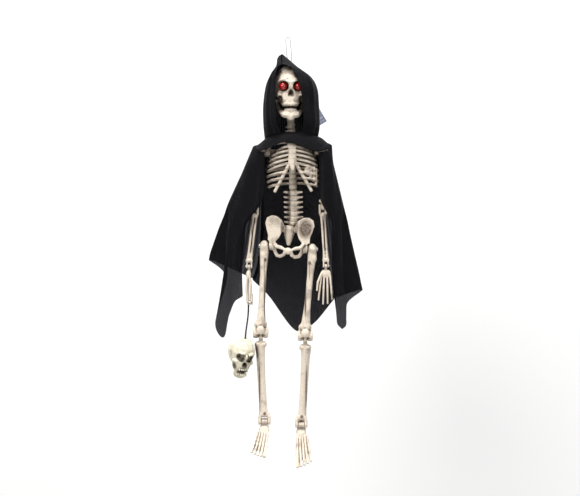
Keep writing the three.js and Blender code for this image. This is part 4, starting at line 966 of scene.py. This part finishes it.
hood = clothSheet("hoodCloth", hoodRows, 90, 56, (0.105, 0.088), hoodFold, lambda u, v: 0.965)
mount(hood, "skull", "black_voile", "cape_hood")
yoke = clothSheet("yokeCloth", yokeRows, 110, 14, (0.16, 0.024), yokeFold, lambda u, v: 0.97)
mount(yoke, "torso", "black_voile", "cape_yoke")
back = clothSheet("backCloth", backRows, 60, 90, (0.075, 0.185), waves(2.5, 0.55, 0.4),
                  lambda u, v: 0.955 - 0.1 * v ** 4)
mount(back, "torso", "black_voile", "cape_back")
for side, rows, flat in (("right", rightWingRows, (0.076, 0.145)), ("left", leftWingRows, (0.063, 0.152))):
    wing = clothSheet("wingCloth" + side.title(), rows, 84, 96, flat,
                      waves(3.2, 1.1, 0.6 if side == "right" else 2.1), lambda u, v: 0.86 - 0.1 * v ** 3)
    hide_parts("cape_wing_" + side)
    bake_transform(wing)
print("cape hung")

# ---- swing tag ----
tag = dict(
    tilt=-31, width=20, thickness=0.5, length=34, hole=1.5,
    bars=((0, -24, 17, 1.8), (2, -20.4, 12, 1.2), (1, -9, 15, 5), (1, -27.5, 15, 1.0)),  # x, z, wide, tall
)
tagTurn = Matrix.Rotation(math.radians(tag["tilt"]), 4, "Y")
tagAt = Vector((15.5, 26.6, -61.5))


def onTag(x, y, z):
    return (tagAt + tagTurn @ Vector((x, y, z))) * mm


bpy.ops.mesh.primitive_cube_add(size=1)
card = bpy.context.active_object
card.name = "swingTag"
card.scale = inMm(tag["width"], tag["thickness"], tag["length"])
card.rotation_euler = (0, math.radians(tag["tilt"]), 0)
card.location = onTag(0, 0, -13)
settle(card)
corners = card.modifiers.new("corners", "BEVEL")
corners.width = 0.12 * mm
corners.segments = 2
hole = strut(onTag(0, -3, 0), onTag(0, 3, 0), tag["hole"] * mm, sides=28)
punch = card.modifiers.new("punch", "BOOLEAN")
punch.operation = "DIFFERENCE"
punch.object = hole
applyAll(card)
bpy.data.objects.remove(hole)
card.data.materials.clear()
card.data.materials.append(finishes["tag_card"])
mount(card, "tag", "tag_card", "hang_tag")
marks = []
for x, z, wide, tall in tag["bars"]:  # plain pale bars
    for face in (-1, 1):
        bpy.ops.mesh.primitive_cube_add(size=1)
        bar = bpy.context.active_object
        bar.scale = inMm(wide, 0.04, tall)
        bar.rotation_euler = (0, math.radians(tag["tilt"]), 0)
        bar.location = onTag(x, face * 0.262, z)
        marks.append(settle(bar))
tagPrint = joinInto(marks[0], marks[1:])
tagPrint.name = "tagMarks"
tagPrint.data.materials.clear()
tagPrint.data.materials.append(paleInk)
mount(tagPrint, "tag", "tag_card")
print("tag hung")

# ---- light, backdrop and camera ----
view = dict(distance=1.6, width=0.58, height=-0.211, side=0.002)
data = bpy.data.cameras.new("camera")
data.sensor_width = 36
data.lens = 36 * view["distance"] / view["width"]
camera = bpy.data.objects.new("camera", data)
camera.location = (view["side"], -view["distance"], view["height"])
camera.rotation_euler = (math.radians(90), 0, 0)
bpy.context.scene.collection.objects.link(camera)
bpy.context.scene.camera = camera

bpy.ops.mesh.primitive_plane_add(size=6, location=(0, 0.35, -0.2), rotation=(math.radians(90), 0, 0))
wall = bpy.context.active_object
wall.name = "backdrop"
wallFinish, wallTree, wallShader = newMaterial("backdropPaper")
wallPlace = addNode(wallTree, "ShaderNodeTexCoord").outputs["Object"]
wallNoise = addNode(wallTree, "ShaderNodeTexNoise", {"Vector": wallPlace, "Scale": 3.0}).outputs["Fac"]
wallTone = mixColor(wallTree, wallNoise, (0.9, 0.9, 0.9, 1), (0.93, 0.93, 0.93, 1))
wallTree.links.new(wallTone, wallShader.inputs["Base Color"])
wallShader.inputs["Roughness"].default_value = 0.9
fromBehind = addNode(wallTree, "ShaderNodeNewGeometry").outputs["Backfacing"]
nothing = addNode(wallTree, "ShaderNodeBsdfTransparent")
oneSided = addNode(wallTree, "ShaderNodeMixShader",
                   {0: fromBehind, 1: wallShader.outputs[0], 2: nothing.outputs[0]})
wallTree.links.new(oneSided.outputs[0], wallTree.nodes["Material Output"].inputs["Surface"])
wall.data.materials.append(wallFinish)
wall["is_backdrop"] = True
bpy.context.scene.view_settings.view_transform = "Standard"


def softLight(name, at, target, size, power, tone=(1, 1, 1)):
    lamp = bpy.data.lights.new(name, "AREA")
    lamp.shape = "DISK"
    lamp.size = size
    lamp.energy = power
    lamp.color = tone
    light = bpy.data.objects.new(name, lamp)
    light.location = at
    light.rotation_euler = (Vector(target) - Vector(at)).to_track_quat("-Z", "Y").to_euler()
    bpy.context.scene.collection.objects.link(light)
    light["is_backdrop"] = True


softLight("keyLight", (-0.9, -1.3, 0.7), (0, 0, -0.2), 0.8, 17, (1, 0.98, 0.95))
softLight("fillLight", (1.2, -1.2, 0.1), (0, 0, -0.22), 1.0, 5)
softLight("wallLight", (0, -0.3, 1.8), (0, 0.35, -0.1), 1.2, 60)
softLight("lowLight", (0, -1.0, -1.3), (0, 0.1, -0.3), 1.2, 3)
world = bpy.data.worlds.new("studio")
bpy.context.scene.world = world
world.use_nodes = True
world.node_tree.nodes["Background"].inputs["Color"].default_value = (1, 1, 1, 1)
world.node_tree.nodes["Background"].inputs["Strength"].default_value = 0.42
print("stage lit")


def plainList(value):
    return [plainList(v) for v in value] if hasattr(value, "__len__") else float(value)


plainList(startBounds)
plainList(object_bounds())
